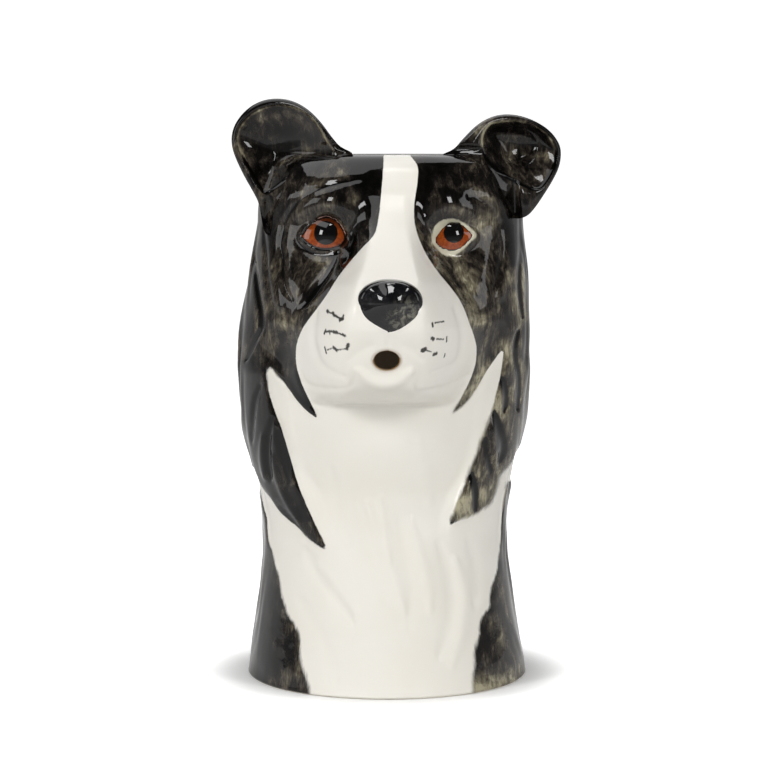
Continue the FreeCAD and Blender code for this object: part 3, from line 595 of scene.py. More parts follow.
def ball_middle(name):
    """Middle of an eyeball: behind the skin, so that the ball stands a little proud of it."""
    (x, level), sign, _ = EYES[name]
    angle = math.asin((x - eased(level, SWAYS)) / ring(level)[0])
    skin_point = head_surface(np.array([angle]), np.array([level]), 0.0)[0]
    return skin_point + eye_direction(sign) * (EYE_PROUD - EYE_BALL)


def placed_at(u, v, y):
    """Place on the plane y at which the camera sees a pixel."""
    tilt = math.radians(CAMERA_TILT)
    right, up = (u - FRAME_MIDDLE) / FOCAL_PIXELS, (FRAME_MIDDLE - v) / FOCAL_PIXELS
    dy = y - CAMERA_PLACE[1]
    rise = up * dy * math.cos(tilt) - dy * math.sin(tilt)
    dz = rise / (math.cos(tilt) + up * math.sin(tilt))
    depth = dy * math.cos(tilt) - dz * math.sin(tilt)
    return np.stack([CAMERA_PLACE[0] + right * depth, y + 0 * right, CAMERA_PLACE[2] + dz], axis=-1)


def on_ball(u, v, middle, radius):
    """Place on a ball at which the camera sees a pixel, or the nearest one where its ray misses."""
    start = np.array(CAMERA_PLACE)
    ray = placed_at(u, v, np.full(np.shape(u), middle[1])) - start
    ray /= np.linalg.norm(ray, axis=-1, keepdims=True)
    along = ray @ (middle - start)
    off = np.sum((middle - start - ray * along[..., None]) ** 2, axis=-1)
    reach = along - np.sqrt(np.clip(radius**2 - off, 0, None))
    return start + ray * reach[..., None]


def lids(points):
    """Points round each eye drawn onto its ball: lids over it, and a socket that the ball fills."""
    u, v = seen_at(points)
    clear = EYE_BALL + EYE_CLEARANCE
    for name, (_, _, outline) in EYES.items():
        middle = ball_middle(name)
        opening = inside_by(u, v, smooth_outline(outline)) / PIXELS_PER_MM
        front = (points[..., 1] < middle[1]) & (opening > -8)
        over = clear + LID * np.exp(-(((opening + LID_MIDDLE) / LID_WIDTH) ** 2))
        radius = np.where(opening > 0, clear - SOCKET_DEPTH * faded(opening, 0.0, 0.6), over)
        target = on_ball(u, v, middle, radius)
        # Round the lids the skin is only brought forward, so that no groove is left beside them.
        reach = np.where(target[..., 1] > points[..., 1], 1.6, 5.0)
        hold = np.where(front, 1 - faded(-opening, 0.4, reach), 0.0)
        points = points * (1 - hold[..., None]) + target * hold[..., None]
    return points


# Vertices nearer to each other than this, in metres, become one.
SEAM = 3e-6


def rolled_grid(columns, rows):
    """A grid of faces, its vertices in rows, and the row and column of each vertex."""
    bm = bmesh.new()
    bmesh.ops.create_grid(bm, x_segments=columns, y_segments=rows, size=1.0)
    bm.verts.ensure_lookup_table()
    place = []
    for vert in bm.verts:
        place.append((round((vert.co.y + 1) / 2 * rows), round((vert.co.x + 1) / 2 * columns)))
    return bm, place


def unit_ball(columns, rows):
    """A ball to shape a piece from, with each vertex's angle from its front pole and turn about it."""
    bm = bmesh.new()
    bmesh.ops.create_uvsphere(bm, u_segments=columns, v_segments=rows, radius=1.0)
    unit = np.array([vert.co for vert in bm.verts])
    return bm, np.arccos(np.clip(unit[:, 2], -1, 1)), np.arctan2(unit[:, 1], unit[:, 0])


def pulled_on(bm, edges):
    """New edges drawn out of open ones, and their vertices, still in the same place."""
    grown = bmesh.ops.extrude_edge_only(bm, edges=edges)["geom"]
    new_edges = [part for part in grown if isinstance(part, bmesh.types.BMEdge)]
    return new_edges, [part for part in grown if isinstance(part, bmesh.types.BMVert)]


def closed_up(bm):
    """Closes the seams and the poles of a shape and turns its faces outward."""
    bmesh.ops.remove_doubles(bm, verts=bm.verts[:], dist=SEAM)
    bmesh.ops.dissolve_degenerate(bm, dist=1e-7, edges=bm.edges[:])
    bmesh.ops.recalc_face_normals(bm, faces=bm.faces[:])


def set_places(bm, points):
    """Moves the vertices to points in millimetres and closes the shape up."""
    for vert, point in zip(bm.verts, points):
        vert.co = point * MM
    closed_up(bm)


def placed_object(bm, name):
    """An object in the scene with the shape as its smooth mesh."""
    mesh = bpy.data.meshes.new(name)
    bm.to_mesh(mesh)
    bm.free()
    mesh.shade_smooth()
    placed = bpy.data.objects.new(name, mesh)
    bpy.context.scene.collection.objects.link(placed)
    return placed


def finished(bm, name, node):
    """Makes a piece of a shape, with its place in the frame."""
    piece = placed_object(bm, name)
    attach(piece, "root")
    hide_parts(node)
    return piece


def mesh_points(piece):
    """Places of a piece's vertices in millimetres."""
    flat = np.empty(3 * len(piece.data.vertices))
    piece.data.vertices.foreach_get("co", flat)
    return flat.reshape(-1, 3) / MM


def paint(piece, values):
    """Gives every vertex of a piece the values that its glaze reads."""
    count = len(piece.data.vertices)
    for name, value in values.items():
        layer = piece.data.attributes.new(name, "FLOAT", "POINT")
        layer.data.foreach_set("value", np.broadcast_to(value, count).astype(np.float32))


def head_angle(points):
    """Direction of each point round the head: 0 is the front."""
    level = np.clip(points[..., 2], 0, RIM)
    setback = ring(level)[2]
    return np.arctan2(points[..., 0] - eased(level, SWAYS), setback - points[..., 1])


def head_lift(points, angle, level):
    """How far the modelled lines, the locks and the coat's edge stand off the skin."""
    front = 1 - faded(np.abs(np.degrees(angle)), *RELIEF_ENDS)
    step = COAT_STEP * band(level, *COAT_STEP_LEVELS) * (faded(coat(points, angle), -0.9, 0.9) - 0.5)
    lift = front * drawn_lines(*seen_at(points), RELIEF) + mane_locks(angle, level) + step
    across = np.sin(points[..., 0] / 7 + 1.3 * np.sin(points[..., 2] / 9))
    lift += WAVES * across * np.sin(points[..., 2] / 8 + 1)
    return lift * faded(level, 0.5, 6) * (1 - faded(level, RELIEF_TOP, RIM))


def head_grid():
    """Points of the head's rows and columns, which rows lie inside, and the hole's middle rows."""
    table = head_rows()
    even = np.linspace(-math.pi, math.pi, HEAD_COLUMNS + 1)
    angle = np.tile(even - CROWDING * np.sin(even), (len(table), 1))
    level = np.tile(np.array([[row[0]] for row in table]), (1, HEAD_COLUMNS + 1))
    inset = np.tile(np.array([[row[1]] for row in table]), (1, HEAD_COLUMNS + 1))
    inner = np.array([row[3] for row in table])
    holes = []
    for side, drawn in ((0, 0.0), (1, WALL)):
        off_hole = np.abs(level[:, 0] - POUR_MIDDLE[1])
        fitting = (inner == side) & (inset[:, 0] == drawn) & (off_hole < 30)
        holes.append(int(np.argmin(np.where(fitting, off_hole, 1e9))))
        angle, level = opened(angle, level, inset, holes[-1])
    points = head_surface(angle, level, inset)
    for k, row in enumerate(table):
        if row[2] is not None:
            points[k, :, 2] = row[2]
    outside = (inner == 0)[:, None] & (points[..., 2] > 0.5)
    lift = np.where(outside, head_lift(points, angle, level), 0.0)
    points = points + outward(points) * lift[..., None]
    on_face = outside & (np.abs(np.degrees(angle)) < FACE_ENDS)
    points = np.where(on_face[..., None], lids(points), points)
    # The foot's middle and the floor's middle each end in one point.
    points[0] = points[0].mean(axis=0)
    points[-1] = points[-1].mean(axis=0)
    return points, inner, holes


def in_hole(face, place, holes):
    """Whether a face of the head's grid lies in the pouring hole, in the skin or inside."""
    rows, columns = zip(*(place[vert.index] for vert in face.verts))
    if max(abs(column - HEAD_COLUMNS // 2) for column in columns) > HOLE_COLUMNS:
        return False
    return any(max(abs(row - middle) for row in rows) <= HOLE_ROWS for middle in holes)


def build_head():
    """The cast head: foot, skin, rim, pouring hole and inside."""
    points, inner, holes = head_grid()
    bm, place = rolled_grid(HEAD_COLUMNS, len(points) - 1)
    inner_layer = bm.verts.layers.float.new("inner")
    opening = [face for face in bm.faces if in_hole(face, place, holes)]
    for vert, (r, c) in zip(bm.verts, place):
        vert.co = points[r, c] * MM
        vert[inner_layer] = inner[r]
    bmesh.ops.delete(bm, geom=opening, context="FACES")
    bmesh.ops.remove_doubles(bm, verts=bm.verts[:], dist=SEAM)
    open_edges = [edge for edge in bm.edges if edge.is_boundary and edge.verts[0].co.y < -40 * MM]
    mouth = [edge for edge in open_edges if edge.verts[0][inner_layer] < 0.5]
    throat = [edge for edge in open_edges if edge.verts[0][inner_layer] > 0.5]
    deep_before = 0.0
    for share, deep in POUR_LIP:
        mouth, lip = pulled_on(bm, mouth)
        for vert in lip:
            up = (vert.co.z / MM - POUR_MIDDLE[1]) / POUR_RADII[1]
            turn = math.atan2(up, (vert.co.x / MM - POUR_MIDDLE[0]) / POUR_RADII[0])
            vert.co.x = (POUR_MIDDLE[0] + share * POUR_RADII[0] * math.cos(turn)) * MM
            vert.co.z = (POUR_MIDDLE[1] + share * POUR_RADII[1] * math.sin(turn)) * MM
            vert.co.y += (deep - deep_before) * MM
        deep_before = deep
    bmesh.ops.bridge_loops(bm, edges=mouth + throat)
    closed_up(bm)
    return finished(bm, "head", "vessel")


# Levels at which the black of the base ends at the front and at which the chest's white begins.
BASE_TOP, CHEST_START = 66, 62
# The soft patch of the coat's edge on the left cheek, and the top of the left eye's lower lid, in pixels.
SOFT_MIDDLE, SOFT_REACH, LOWER_LID = (272, 372), (14, 16), 233
# Share of the crown's radius at which the coat ends, and how far below the rim that begins to count.
COAT_RIM, RIM_BAND = 0.955, 4
# Levels between which the painted shade inside the head deepens, and how much.
INSIDE_SHADE_START, INSIDE_SHADE_FULL, INSIDE_SHADE_MOST = 185, 118, 0.92


def coat_edge(points, angle, inner):
    """Signed distance to the coat, which ends on the rim: inside there is only white glaze."""
    black = coat(points, angle)
    lean = eased(np.clip(points[:, 2], 0, RIM), SWAYS)
    across = (points[:, 0] - lean) / CROWN_HALF_WIDTH
    radius = np.hypot(across, (points[:, 1] - CROWN_SETBACK) / CROWN_HALF_DEPTH)
    over = (radius - COAT_RIM) * CROWN_HALF_WIDTH
    at_rim = points[:, 2] > RIM - RIM_BAND
    black = np.where(at_rim, np.minimum(black, over), black)
    return np.where(inner > 0.5, np.minimum(black, np.where(at_rim, over, -5)), black)


def coat_softness(u, v, height, front):
    """How softly the coat's edge ends, in millimetres."""
    feather = 0.16 + 0.9 * np.clip(1 - height / BASE_TOP, 0, 1) * (1 - faded(height, 60, BASE_TOP))
    off_u, off_v = (u - SOFT_MIDDLE[0]) / SOFT_REACH[0], (v - SOFT_MIDDLE[1]) / SOFT_REACH[1]
    feather += 0.5 * front * np.exp(-(off_u**2 + off_v**2))
    right_chest = (u > FRAME_MIDDLE) * (height > CHEST_START)
    return feather + 0.75 * front * np.clip((v - 380) / 60, 0, 1) * right_chest


def front_tones(u, v, height, black):
    """How much lighter than plain pigment the coat is brushed where the camera sees it."""
    left, right, chest = u < FRAME_MIDDLE, u > FRAME_MIDDLE, height > CHEST_START
    tones = drawn_lines(u, v, STROKES)
    # Paler on the right cheek and jaw, darker on the crown and on the left jaw.
    tones += 0.22 * faded(u, FRAME_MIDDLE, 470) * (1 - faded(height, 150, 178))
    tones -= 0.4 * faded(height, 166, 172)
    tones += 0.32 * faded(u, 430, 445) * faded(v, 350, 390) * chest
    tones -= 0.8 * left * faded(v, 330, 400) * chest
    # The base is dark, with a pale edge on its left and a pale foot on its right.
    pale_edge = 0.5 * np.exp(-(((black - 1.5) / 2.0) ** 2)) * left
    tones += (1 - faded(height, 52, BASE_TOP)) * (pale_edge - 0.05 * right - 0.4)
    return tones + 1.2 * right * (1 - faded(height, 2, 9))


def painted_values(points, inner):
    """What the head's glaze reads at each of its vertices."""
    u, v = seen_at(points)
    angle, height = head_angle(points), points[:, 2]
    degrees = np.degrees(angle)
    front = 1 - faded(np.abs(degrees), *RELIEF_ENDS)
    front_coat = 1 - faded(np.abs(degrees), *STROKES_END)
    black = coat_edge(points, angle, inner)
    lighter = front_coat * front_tones(u, v, height, black)
    lighter += (1 - front_coat) * 0.25 * np.sin(degrees / 11) * np.sin(height / 14)
    groove = front * np.clip(-drawn_lines(u, v, RELIEF), 0, 1.2)
    groove += np.clip(-mane_locks(angle, height), 0, 1)
    # The lower lid of the left eye is lined in black.
    left_lid = inside_by(u, v, smooth_outline(LEFT_EYE)) / PIXELS_PER_MM
    groove += 1.2 * np.exp(-(((left_lid + 0.15) / 0.5) ** 2)) * (v > LOWER_LID)
    off_ring = inside_by(u, v, smooth_outline(EYE_RING)) / PIXELS_PER_MM
    hole_x, hole_z = points[:, 0] - POUR_MIDDLE[0], height - POUR_MIDDLE[1]
    off_hole = np.hypot(hole_x / POUR_RADII[0], hole_z / POUR_RADII[1])
    at_hole = (points[:, 1] < -40) & (off_hole < 4) & (inner < 0.5)
    # Painted shade of the pouring hole: full over its rolled lip, and half as much in a ring just round
    # its edge.
    hole_shade = np.where(off_hole < 1, 1.0, 0.5 * np.exp(-(((off_hole - 1.05) / 0.12) ** 2)))
    # Painted shade deepens down inside, so that the hole looks into a dark head.
    inside_shade = INSIDE_SHADE_MOST * (1 - faded(height, INSIDE_SHADE_FULL, INSIDE_SHADE_START))
    return {
        "black": black,
        "feather": coat_softness(u, v, height, front),
        "lighter": lighter,
        "groove": groove,
        "pale_ring": np.where(front > 0.5, off_ring, -5),
        "bare": (height < 0.35) & (np.hypot(points[:, 0], points[:, 1]) > 40),
        "throat": hole_shade * at_hole,
        "inside_shade": np.where(inner > 0.5, inside_shade, 0.0),
    }


# What the glaze reads where a piece is black all over.
ALL_BLACK = {
    "black": 10.0,
    "feather": 0.2,
    "lighter": 0.0,
    "groove": 0.0,
    "pale_ring": -5.0,
    "bare": 0.0,
    "throat": 0.0,
    "inside_shade": 0.0,
}

# The ears as the camera sees them: outline, inner edge of the rim, the deep hollow and its middle.
EAR_SHAPES = {
    "left_ear": {
        "outline": (
            (270, 238), (263, 231), (261, 216), (259, 203), (253, 191.5), (244, 176), (235, 157),
            (231.7, 146), (231.5, 134), (236, 121.5), (247, 108.5), (261, 100.5), (276, 98),
            (292, 100), (307.6, 108.5), (321, 122), (332, 137.5), (341, 148), (354, 152),
            (352, 166), (335, 186), (308, 206), (284, 228),
        ),
        "rim": (
            (237.5, 143.6), (238, 131), (244, 121.5), (254, 112), (267.4, 106.5), (281, 104.8),
            (294.5, 107), (308, 113.5), (318, 124.5), (325, 137), (334, 151), (333, 157),
            (320, 163), (303, 169), (287.5, 176), (273, 188.5), (265, 194), (259, 185), (251, 171),
            (244, 159),
        ),
        "middle": (272, 152),
        "side": -1,
        "deep": 7.5,
        "rim_height": 1.8,
    },
    "right_ear": {
        "outline": (
            (441, 153), (453, 150.8), (464, 137.5), (477.6, 124), (491, 116.5), (504.5, 113.8),
            (520, 115.3), (535.6, 121), (549, 129.6), (558, 140.8), (561.3, 151), (559.6, 166.4),
            (552.4, 181), (543.4, 195.5), (535, 208), (527, 217), (515, 219.5), (500, 213),
            (484, 201), (462, 186), (446, 170),
        ),
        "rim": (
            (481, 140), (484, 131), (490, 124), (502, 121), (516, 120.8), (530, 123), (543, 129.5),
            (552, 140), (556, 152), (554, 166), (547, 180), (537.5, 190.5), (520, 183.5),
            (506, 175.5), (494, 167.5), (484, 154),
        ),
        "hollow": (
            (490.5, 130), (501, 126.8), (515.5, 126.6), (529, 129.6), (539, 137), (541.5, 147),
            (539, 156), (532, 164), (523, 169), (513, 167.5), (502, 161), (495.5, 151),
            (491.5, 141),
        ),
        "middle": (516, 148),
        "side": 1,
        "deep": 8.5,
        "shelf": 3.8,
        "rim_height": 2.3,
    },
}
# The plane of an ear's rim, and how it is turned and tilted in degrees.
EAR_FORWARD, EAR_SPREAD, EAR_TOE_OUT, EAR_LEAN, EAR_LEVEL = 20.0, 39.6, 24.0, 7.0, 193.0
# How far an ear's back bulges.
EAR_BACK = 9.5
# Shares of an ear's front at which the hollow and the rim's inner edge lie, the share of the rim's
# width at which its crest lies, and how far round the crest rolls inwards.
AT_HOLLOW, AT_RIM, AT_CREST = 0.34, 0.62, 0.3
CREST_ROLL = math.pi / 3.2
# Brush strokes on the ears, with painted shade in the right ear's hollow, and painted light on its lit
# lower wall and along the streak highlight of its lower lip: (points, half width in pixels, how much
# lighter, below zero is darker).
EAR_STROKES_AND_SHADING = (
    (((262, 110), (256, 126), (256, 142)), 6, 0.7),
    (((284, 110), (300, 118), (312, 132)), 6, 0.45),
    (((291, 132), (282, 150)), 12, -0.9),
    (((268, 150), (262, 166)), 5, 0.6),
    (((300, 140), (310, 150)), 5, 0.5),
    (((258, 128), (256, 146)), 8, -0.55),
    (((264, 150), (266, 166)), 8, -0.6),
    (((277, 126), (281, 141)), 6, -0.5),
    (((302, 118), (314, 134)), 7, 0.35),
    (((262, 121), (278, 114)), 5, 0.3),
    (((290, 148), (300, 140)), 5, 0.35),
    (((322, 153), (333, 153)), 5, -0.6),
    (((332, 162), (302, 177), (286, 190)), 5, 0.6),
    (((270, 196), (268, 210)), 4, -0.5),
    (((243, 150), (250, 166)), 3, 0.35),
    (((504, 138), (530, 150)), 12, -0.7),
    (((484, 132), (487, 150)), 5, 0.4),
    (((548, 150), (548, 170)), 6, 0.5),
    (((536, 168), (543, 178)), 6, 0.45),
    (((474, 179), (492, 194)), 5, 0.8),
    (((460, 162), (470, 176)), 7, -0.7),
    (((506, 176), (528, 198)), 5, 0.35),
    (((500, 200), (522, 212)), 6, -0.3),
    (((470, 140), (490, 122), (520, 118)), 4, 0.3),
)


def reach_of(outline, middle, turn):
    """Distance from the middle to an outline in each direction."""
    outline = np.array(smooth_outline(outline))
    away = outline - np.array(middle)
    directions, lengths = np.arctan2(away[:, 1], away[:, 0]), np.hypot(*away.T)
    order = np.argsort(directions)
    return np.interp(turn, directions[order], lengths[order], period=2 * math.pi)


def pixels_at(middle, reach, turn):
    """Pixels that lie a reach away from a middle in each direction."""
    return middle[0] + reach * np.cos(turn), middle[1] + reach * np.sin(turn)


def skin_behind(u, v):
    """Where the camera's ray at a pixel meets the head, as its y, and how far inside its outline."""
    y = np.full(np.shape(u), -30.0)
    for _ in range(12):
        points = placed_at(u, v, y)
        level = np.clip(points[..., 2], 0, RIM - 0.05)
        half_width = ring(level)[0]
        share = (points[..., 0] - eased(level, SWAYS)) / half_width
        angle = np.arcsin(np.clip(share, -0.985, 0.985))
        y = 0.5 * y + 0.5 * head_surface(angle, level, 0.0)[..., 1]
    over = np.clip(points[..., 2] - RIM + 1.5, 0, None)
    return y, (1 - np.abs(share)) * half_width - 3 * over


def outside_of_wall(points, deep):
    """Points that would reach through the wall, held in the middle of it."""
    level = np.clip(points[:, 2], 0, RIM)
    half_width, half_depth, setback = ring(level)
    x, y = points[:, 0] - eased(level, SWAYS), points[:, 1] - setback
    share = np.hypot(x / (half_width - deep), y / (half_depth - deep))
    grow = np.where(share < 1, 1 / np.maximum(share, 1e-3), 1.0)
    points[:, 0] = x * grow + eased(level, SWAYS)
    points[:, 1] = y * grow + setback
    return points


def ear_plane(points):
    """The plane of an ear's rim: toed outwards and leaning back, as its y at each point."""
    toed = math.tan(math.radians(EAR_TOE_OUT)) * (np.abs(points[:, 0]) - EAR_SPREAD)
    return toed + math.tan(math.radians(EAR_LEAN)) * (points[:, 2] - EAR_LEVEL) - EAR_FORWARD


def ear_cup(shape, share, turn, rim, edge):
    """Reach and forward place inside an ear's rim, whose inner edge stands forward by edge."""
    deep = shape["deep"]
    if "hollow" not in shape:
        on_cup = np.clip(share / AT_RIM, 0, 1)
        return rim * on_cup, -deep + (deep + edge) * on_cup**2
    shelf, hollow = shape["shelf"], reach_of(shape["hollow"], shape["middle"], turn)
    in_hollow = np.clip(share / AT_HOLLOW, 0, 1)
    on_wall = np.clip((share - AT_HOLLOW) / (AT_RIM - AT_HOLLOW), 0, 1)
    reach = np.where(share < AT_HOLLOW, hollow * in_hollow, hollow + (rim - hollow) * on_wall)
    wall = -shelf + (shelf + edge) * on_wall**1.4
    return reach, np.where(share < AT_HOLLOW, -deep + (deep - shelf) * in_hollow**2.6, wall)


def ear_rim(lip, height):
    """How far forward a rolled rim stands, from its inner edge at lip 0 to its outer edge at 1."""
    inner = height * np.cos((AT_CREST - np.minimum(lip, AT_CREST)) / AT_CREST * CREST_ROLL)
    off_crest = (np.maximum(lip, AT_CREST) - AT_CREST) / (1 - AT_CREST)
    outer = height * np.sqrt(np.clip(1 - off_crest**2, 0, 1))
    return np.where(lip < AT_CREST, inner, outer)


def build_ear(name):
    """An ear: a scooped shell with a rolled rim, whose root flows into the side of the head."""
    shape = EAR_SHAPES[name]
    bm, polar, turn = unit_ball(160, 112)
    middle = shape["middle"]
    out, rim = (reach_of(shape[part], middle, turn) for part in ("outline", "rim"))
    front = polar <= math.pi / 2
    share = polar / (math.pi / 2)
    within = faded(skin_behind(*pixels_at(middle, out, turn))[1], 0.5, 5.0)
    rim_height = shape["rim_height"] * (1 - 0.6 * within)
    cup_reach, cup_forward = ear_cup(shape, share, turn, rim, rim_height * math.cos(CREST_ROLL))
    lip = np.sin(math.pi / 2 * np.clip((share - AT_RIM) / (1 - AT_RIM), 0, 1))
    reach = np.where(share < AT_RIM, cup_reach, rim + (out - rim) * lip)
    reach = np.where(front, reach, out * np.sin(polar))
    forward = np.where(share < AT_RIM, cup_forward, ear_rim(lip, rim_height))
    forward = np.where(front, forward, EAR_BACK * np.cos(polar))
    u, v = pixels_at(middle, reach, turn)
    y = np.full(len(u), -EAR_FORWARD)
    for _ in range(4):
        y = ear_plane(placed_at(u, v, y))
    toe_out = math.radians(EAR_TOE_OUT)
    facing = np.array([0.35 * shape["side"] * math.sin(toe_out), -math.cos(toe_out), 0.0])
    points = placed_at(u, v, y) + forward[:, None] * facing
    # The root: where the outline lies on the head, the lip sinks into the head's skin.
    sunk = np.where(front, within * faded(share, 0.56, 0.92), 0.0)
    points[:, 1] += sunk * (skin_behind(u, v)[0] + 0.5 - points[:, 1])
    set_places(bm, outside_of_wall(points, WALL / 2))
    return finished(bm, f"{name}_shell", name)


def ear_values(name, points):
    """What an ear's glaze reads at each of its vertices, where it isn't plain black."""
    u, v = seen_at(points)
    shape = EAR_SHAPES[name]
    off_rim = inside_by(u, v, smooth_outline(shape["rim"])) / PIXELS_PER_MM
    front = points[:, 1] < ear_plane(points) + 6
    low = faded(v - shape["middle"][1], -6, 16)
    # A painted highlight along the upper part of the rim's inner edge, and painted shade along its lower
    # part, where the rim folds.
    pale = np.exp(-(((off_rim - 0.1) / 0.55) ** 2)) * (1 - low)
    fold = np.exp(-(((off_rim + 0.1) / 0.5) ** 2)) * low
    lighter = front * (1.3 * pale + drawn_lines(u, v, EAR_STROKES_AND_SHADING))
    return {"lighter": lighter, "groove": front * 1.1 * fold}


# The handle seen from the side: levels of its two arms, how far back the grip stands, its corners,
# and where its arms start inside the wall.
HANDLE_TOP, HANDLE_LOW, HANDLE_GRIP, HANDLE_CORNER, HANDLE_HEEL = 164.5, 60.5, 90.0, 22.0, 26.0
HANDLE_ROOTS = (44.0, 42.0)
HANDLE_WIDTH, HANDLE_THICKNESS, HANDLE_FLARE, HANDLE_LEAN = 17.0, 11.5, 5.0, -0.2
HANDLE_STEP, CORNER_STEPS, HANDLE_COLUMNS = 1.5, 24, 56


def handle_line():
    """Places and directions along the middle of the handle, from its upper root to its lower root."""
    upper_root, lower_root = HANDLE_ROOTS
    corner = (HANDLE_GRIP - HANDLE_CORNER, HANDLE_TOP - HANDLE_CORNER)
    heel = (HANDLE_GRIP - HANDLE_HEEL, HANDLE_LOW + HANDLE_HEEL)
    runs = (
        ("line", (upper_root, HANDLE_TOP), (corner[0], HANDLE_TOP)),
        ("arc", corner, HANDLE_CORNER, 90, 0),
        ("line", (HANDLE_GRIP, corner[1]), (HANDLE_GRIP, heel[1])),
        ("arc", heel, HANDLE_HEEL, 0, -90),
        ("line", (heel[0], HANDLE_LOW), (lower_root, HANDLE_LOW)),
    )
    places, directions = [], []
    for kind, *run in runs:
        if kind == "line":
            start, end = np.array(run[0]), np.array(run[1])
            steps = max(2, int(np.linalg.norm(end - start) / HANDLE_STEP))
            for k in range(steps):
                places.append(start + (end - start) * k / steps)
                directions.append((end - start) / np.linalg.norm(end - start))
        else:
            middle, radius, first, last = run
            for k in range(CORNER_STEPS):
                turn = math.radians(first + (last - first) * k / CORNER_STEPS)
                places.append(np.array(middle) + radius * np.array([math.cos(turn), math.sin(turn)]))
                directions.append(np.array([math.sin(turn), -math.cos(turn)]))
    places.append(np.array((lower_root, HANDLE_LOW)))
    directions.append(np.array((-1.0, 0.0)))
    return np.array(places), np.array(directions)


def build_handle():
    """The handle at the back: an oval bar that spreads where it is joined to the head."""
    places, directions = handle_line()
    rows = len(places) - 1
    turn = np.linspace(0, 2 * math.pi, HANDLE_COLUMNS + 1)
    sideways = np.stack([-directions[:, 1], directions[:, 0]], axis=1)
    flare = np.zeros((rows + 1, HANDLE_COLUMNS + 1))
    for _ in range(4):
        across = (HANDLE_WIDTH / 2 + 0.9 * flare) * np.sin(turn)
        out = (HANDLE_THICKNESS / 2 + 0.8 * flare) * np.cos(turn)
        y = places[:, :1] + sideways[:, :1] * out
        z = places[:, 1:] + sideways[:, 1:] * out
        half_width, half_depth, setback = ring(np.clip(z, 0, RIM))
        skin_y = setback + half_depth * np.sqrt(np.clip(1 - (across / half_width) ** 2, 0, 1))
        off_skin = np.clip(y - skin_y, 0, HANDLE_FLARE)
        flare = HANDLE_FLARE - np.sqrt(HANDLE_FLARE**2 - (HANDLE_FLARE - off_skin) ** 2)
    bm, place = rolled_grid(HANDLE_COLUMNS, rows)
    for vert, (r, c) in zip(bm.verts, place):
        vert.co = Vector((across[r, c] + HANDLE_LEAN, y[r, c], z[r, c])) * MM
    bmesh.ops.remove_doubles(bm, verts=bm.verts[:], dist=SEAM)
    bmesh.ops.holes_fill(bm, edges=[edge for edge in bm.edges if edge.is_boundary])
    bmesh.ops.recalc_face_normals(bm, faces=bm.faces[:])
    return finished(bm, "loop_handle", "handle")


NOSE_OUTLINE = (
    (389, 278.5), (378, 279.5), (367, 284), (359.5, 291), (356.7, 300), (358, 309), (363, 318),
    (371, 324), (380, 329), (388, 333.5), (391.5, 334.5), (395, 333), (403, 329), (412, 323),
    (419, 317), (423, 309), (423.5, 301), (421, 292.5), (414, 285), (403, 280),
)
NOSE_MIDDLE = (390.0, 304.0)
NOSE_FRONT, NOSE_RIM, NOSE_SEAT, NOSE_BACK = -83.0, -77.0, 0.8, 2.5
# How far the pad's face falls back from its tip, as shares of its reach, and where its edge rolls.
NOSE_FALL = (
    (0.0, 0.0), (0.1, 0.008), (0.2, 0.030), (0.3, 0.066), (0.4, 0.115), (0.7, 0.285), (1.0, 0.450),
)
NOSE_EDGE = (0.84, 1.0)


def build_nose():
    """The nose pad: a glossy dome with a soft lower point, seated in the muzzle."""
    bm, polar, turn = unit_ball(96, 64)
    out = reach_of(NOSE_OUTLINE, NOSE_MIDDLE, turn)
    across = np.sin(polar)
    rim = placed_at(*pixels_at(NOSE_MIDDLE, out, turn), np.full(len(out), NOSE_RIM))
    level = rim[:, 2]
    angle = np.arcsin(np.clip((rim[:, 0] - eased(level, SWAYS)) / ring(level)[0], -1, 1))
    seat = skin(angle, level, 0.0)[:, 1] + NOSE_SEAT
    fall = eased(across, NOSE_FALL) * out / PIXELS_PER_MM
    most = eased(np.array([NOSE_EDGE[0]]), NOSE_FALL) * out / PIXELS_PER_MM
    fall *= np.minimum(1, (seat - 1.6 - NOSE_FRONT) / most)
    on_edge = np.clip((across - NOSE_EDGE[0]) / (NOSE_EDGE[1] - NOSE_EDGE[0]), 0, 1)
    edge = 1 - np.sqrt(np.clip(1 - on_edge**2, 0, 1))
    front_y = (NOSE_FRONT + fall) * (1 - edge) + seat * edge
    back_y = seat + NOSE_BACK * np.abs(np.cos(polar))
    y = np.where(polar <= math.pi / 2, front_y, back_y)
    set_places(bm, placed_at(*pixels_at(NOSE_MIDDLE, out * across, turn), y))
    return finished(bm, "nose_pad", "nose")


# Pupils: (middle, radius), in pixels.
PUPILS = {"left_eye": ((325.8, 233.0), 11.9), "right_eye": ((453.8, 232.6), 10.3)}
# How far an eye reaches behind its lids, and how thick it is behind its widest line.
EYE_OVERLAP, EYE_BACK = 0.9, 2.4


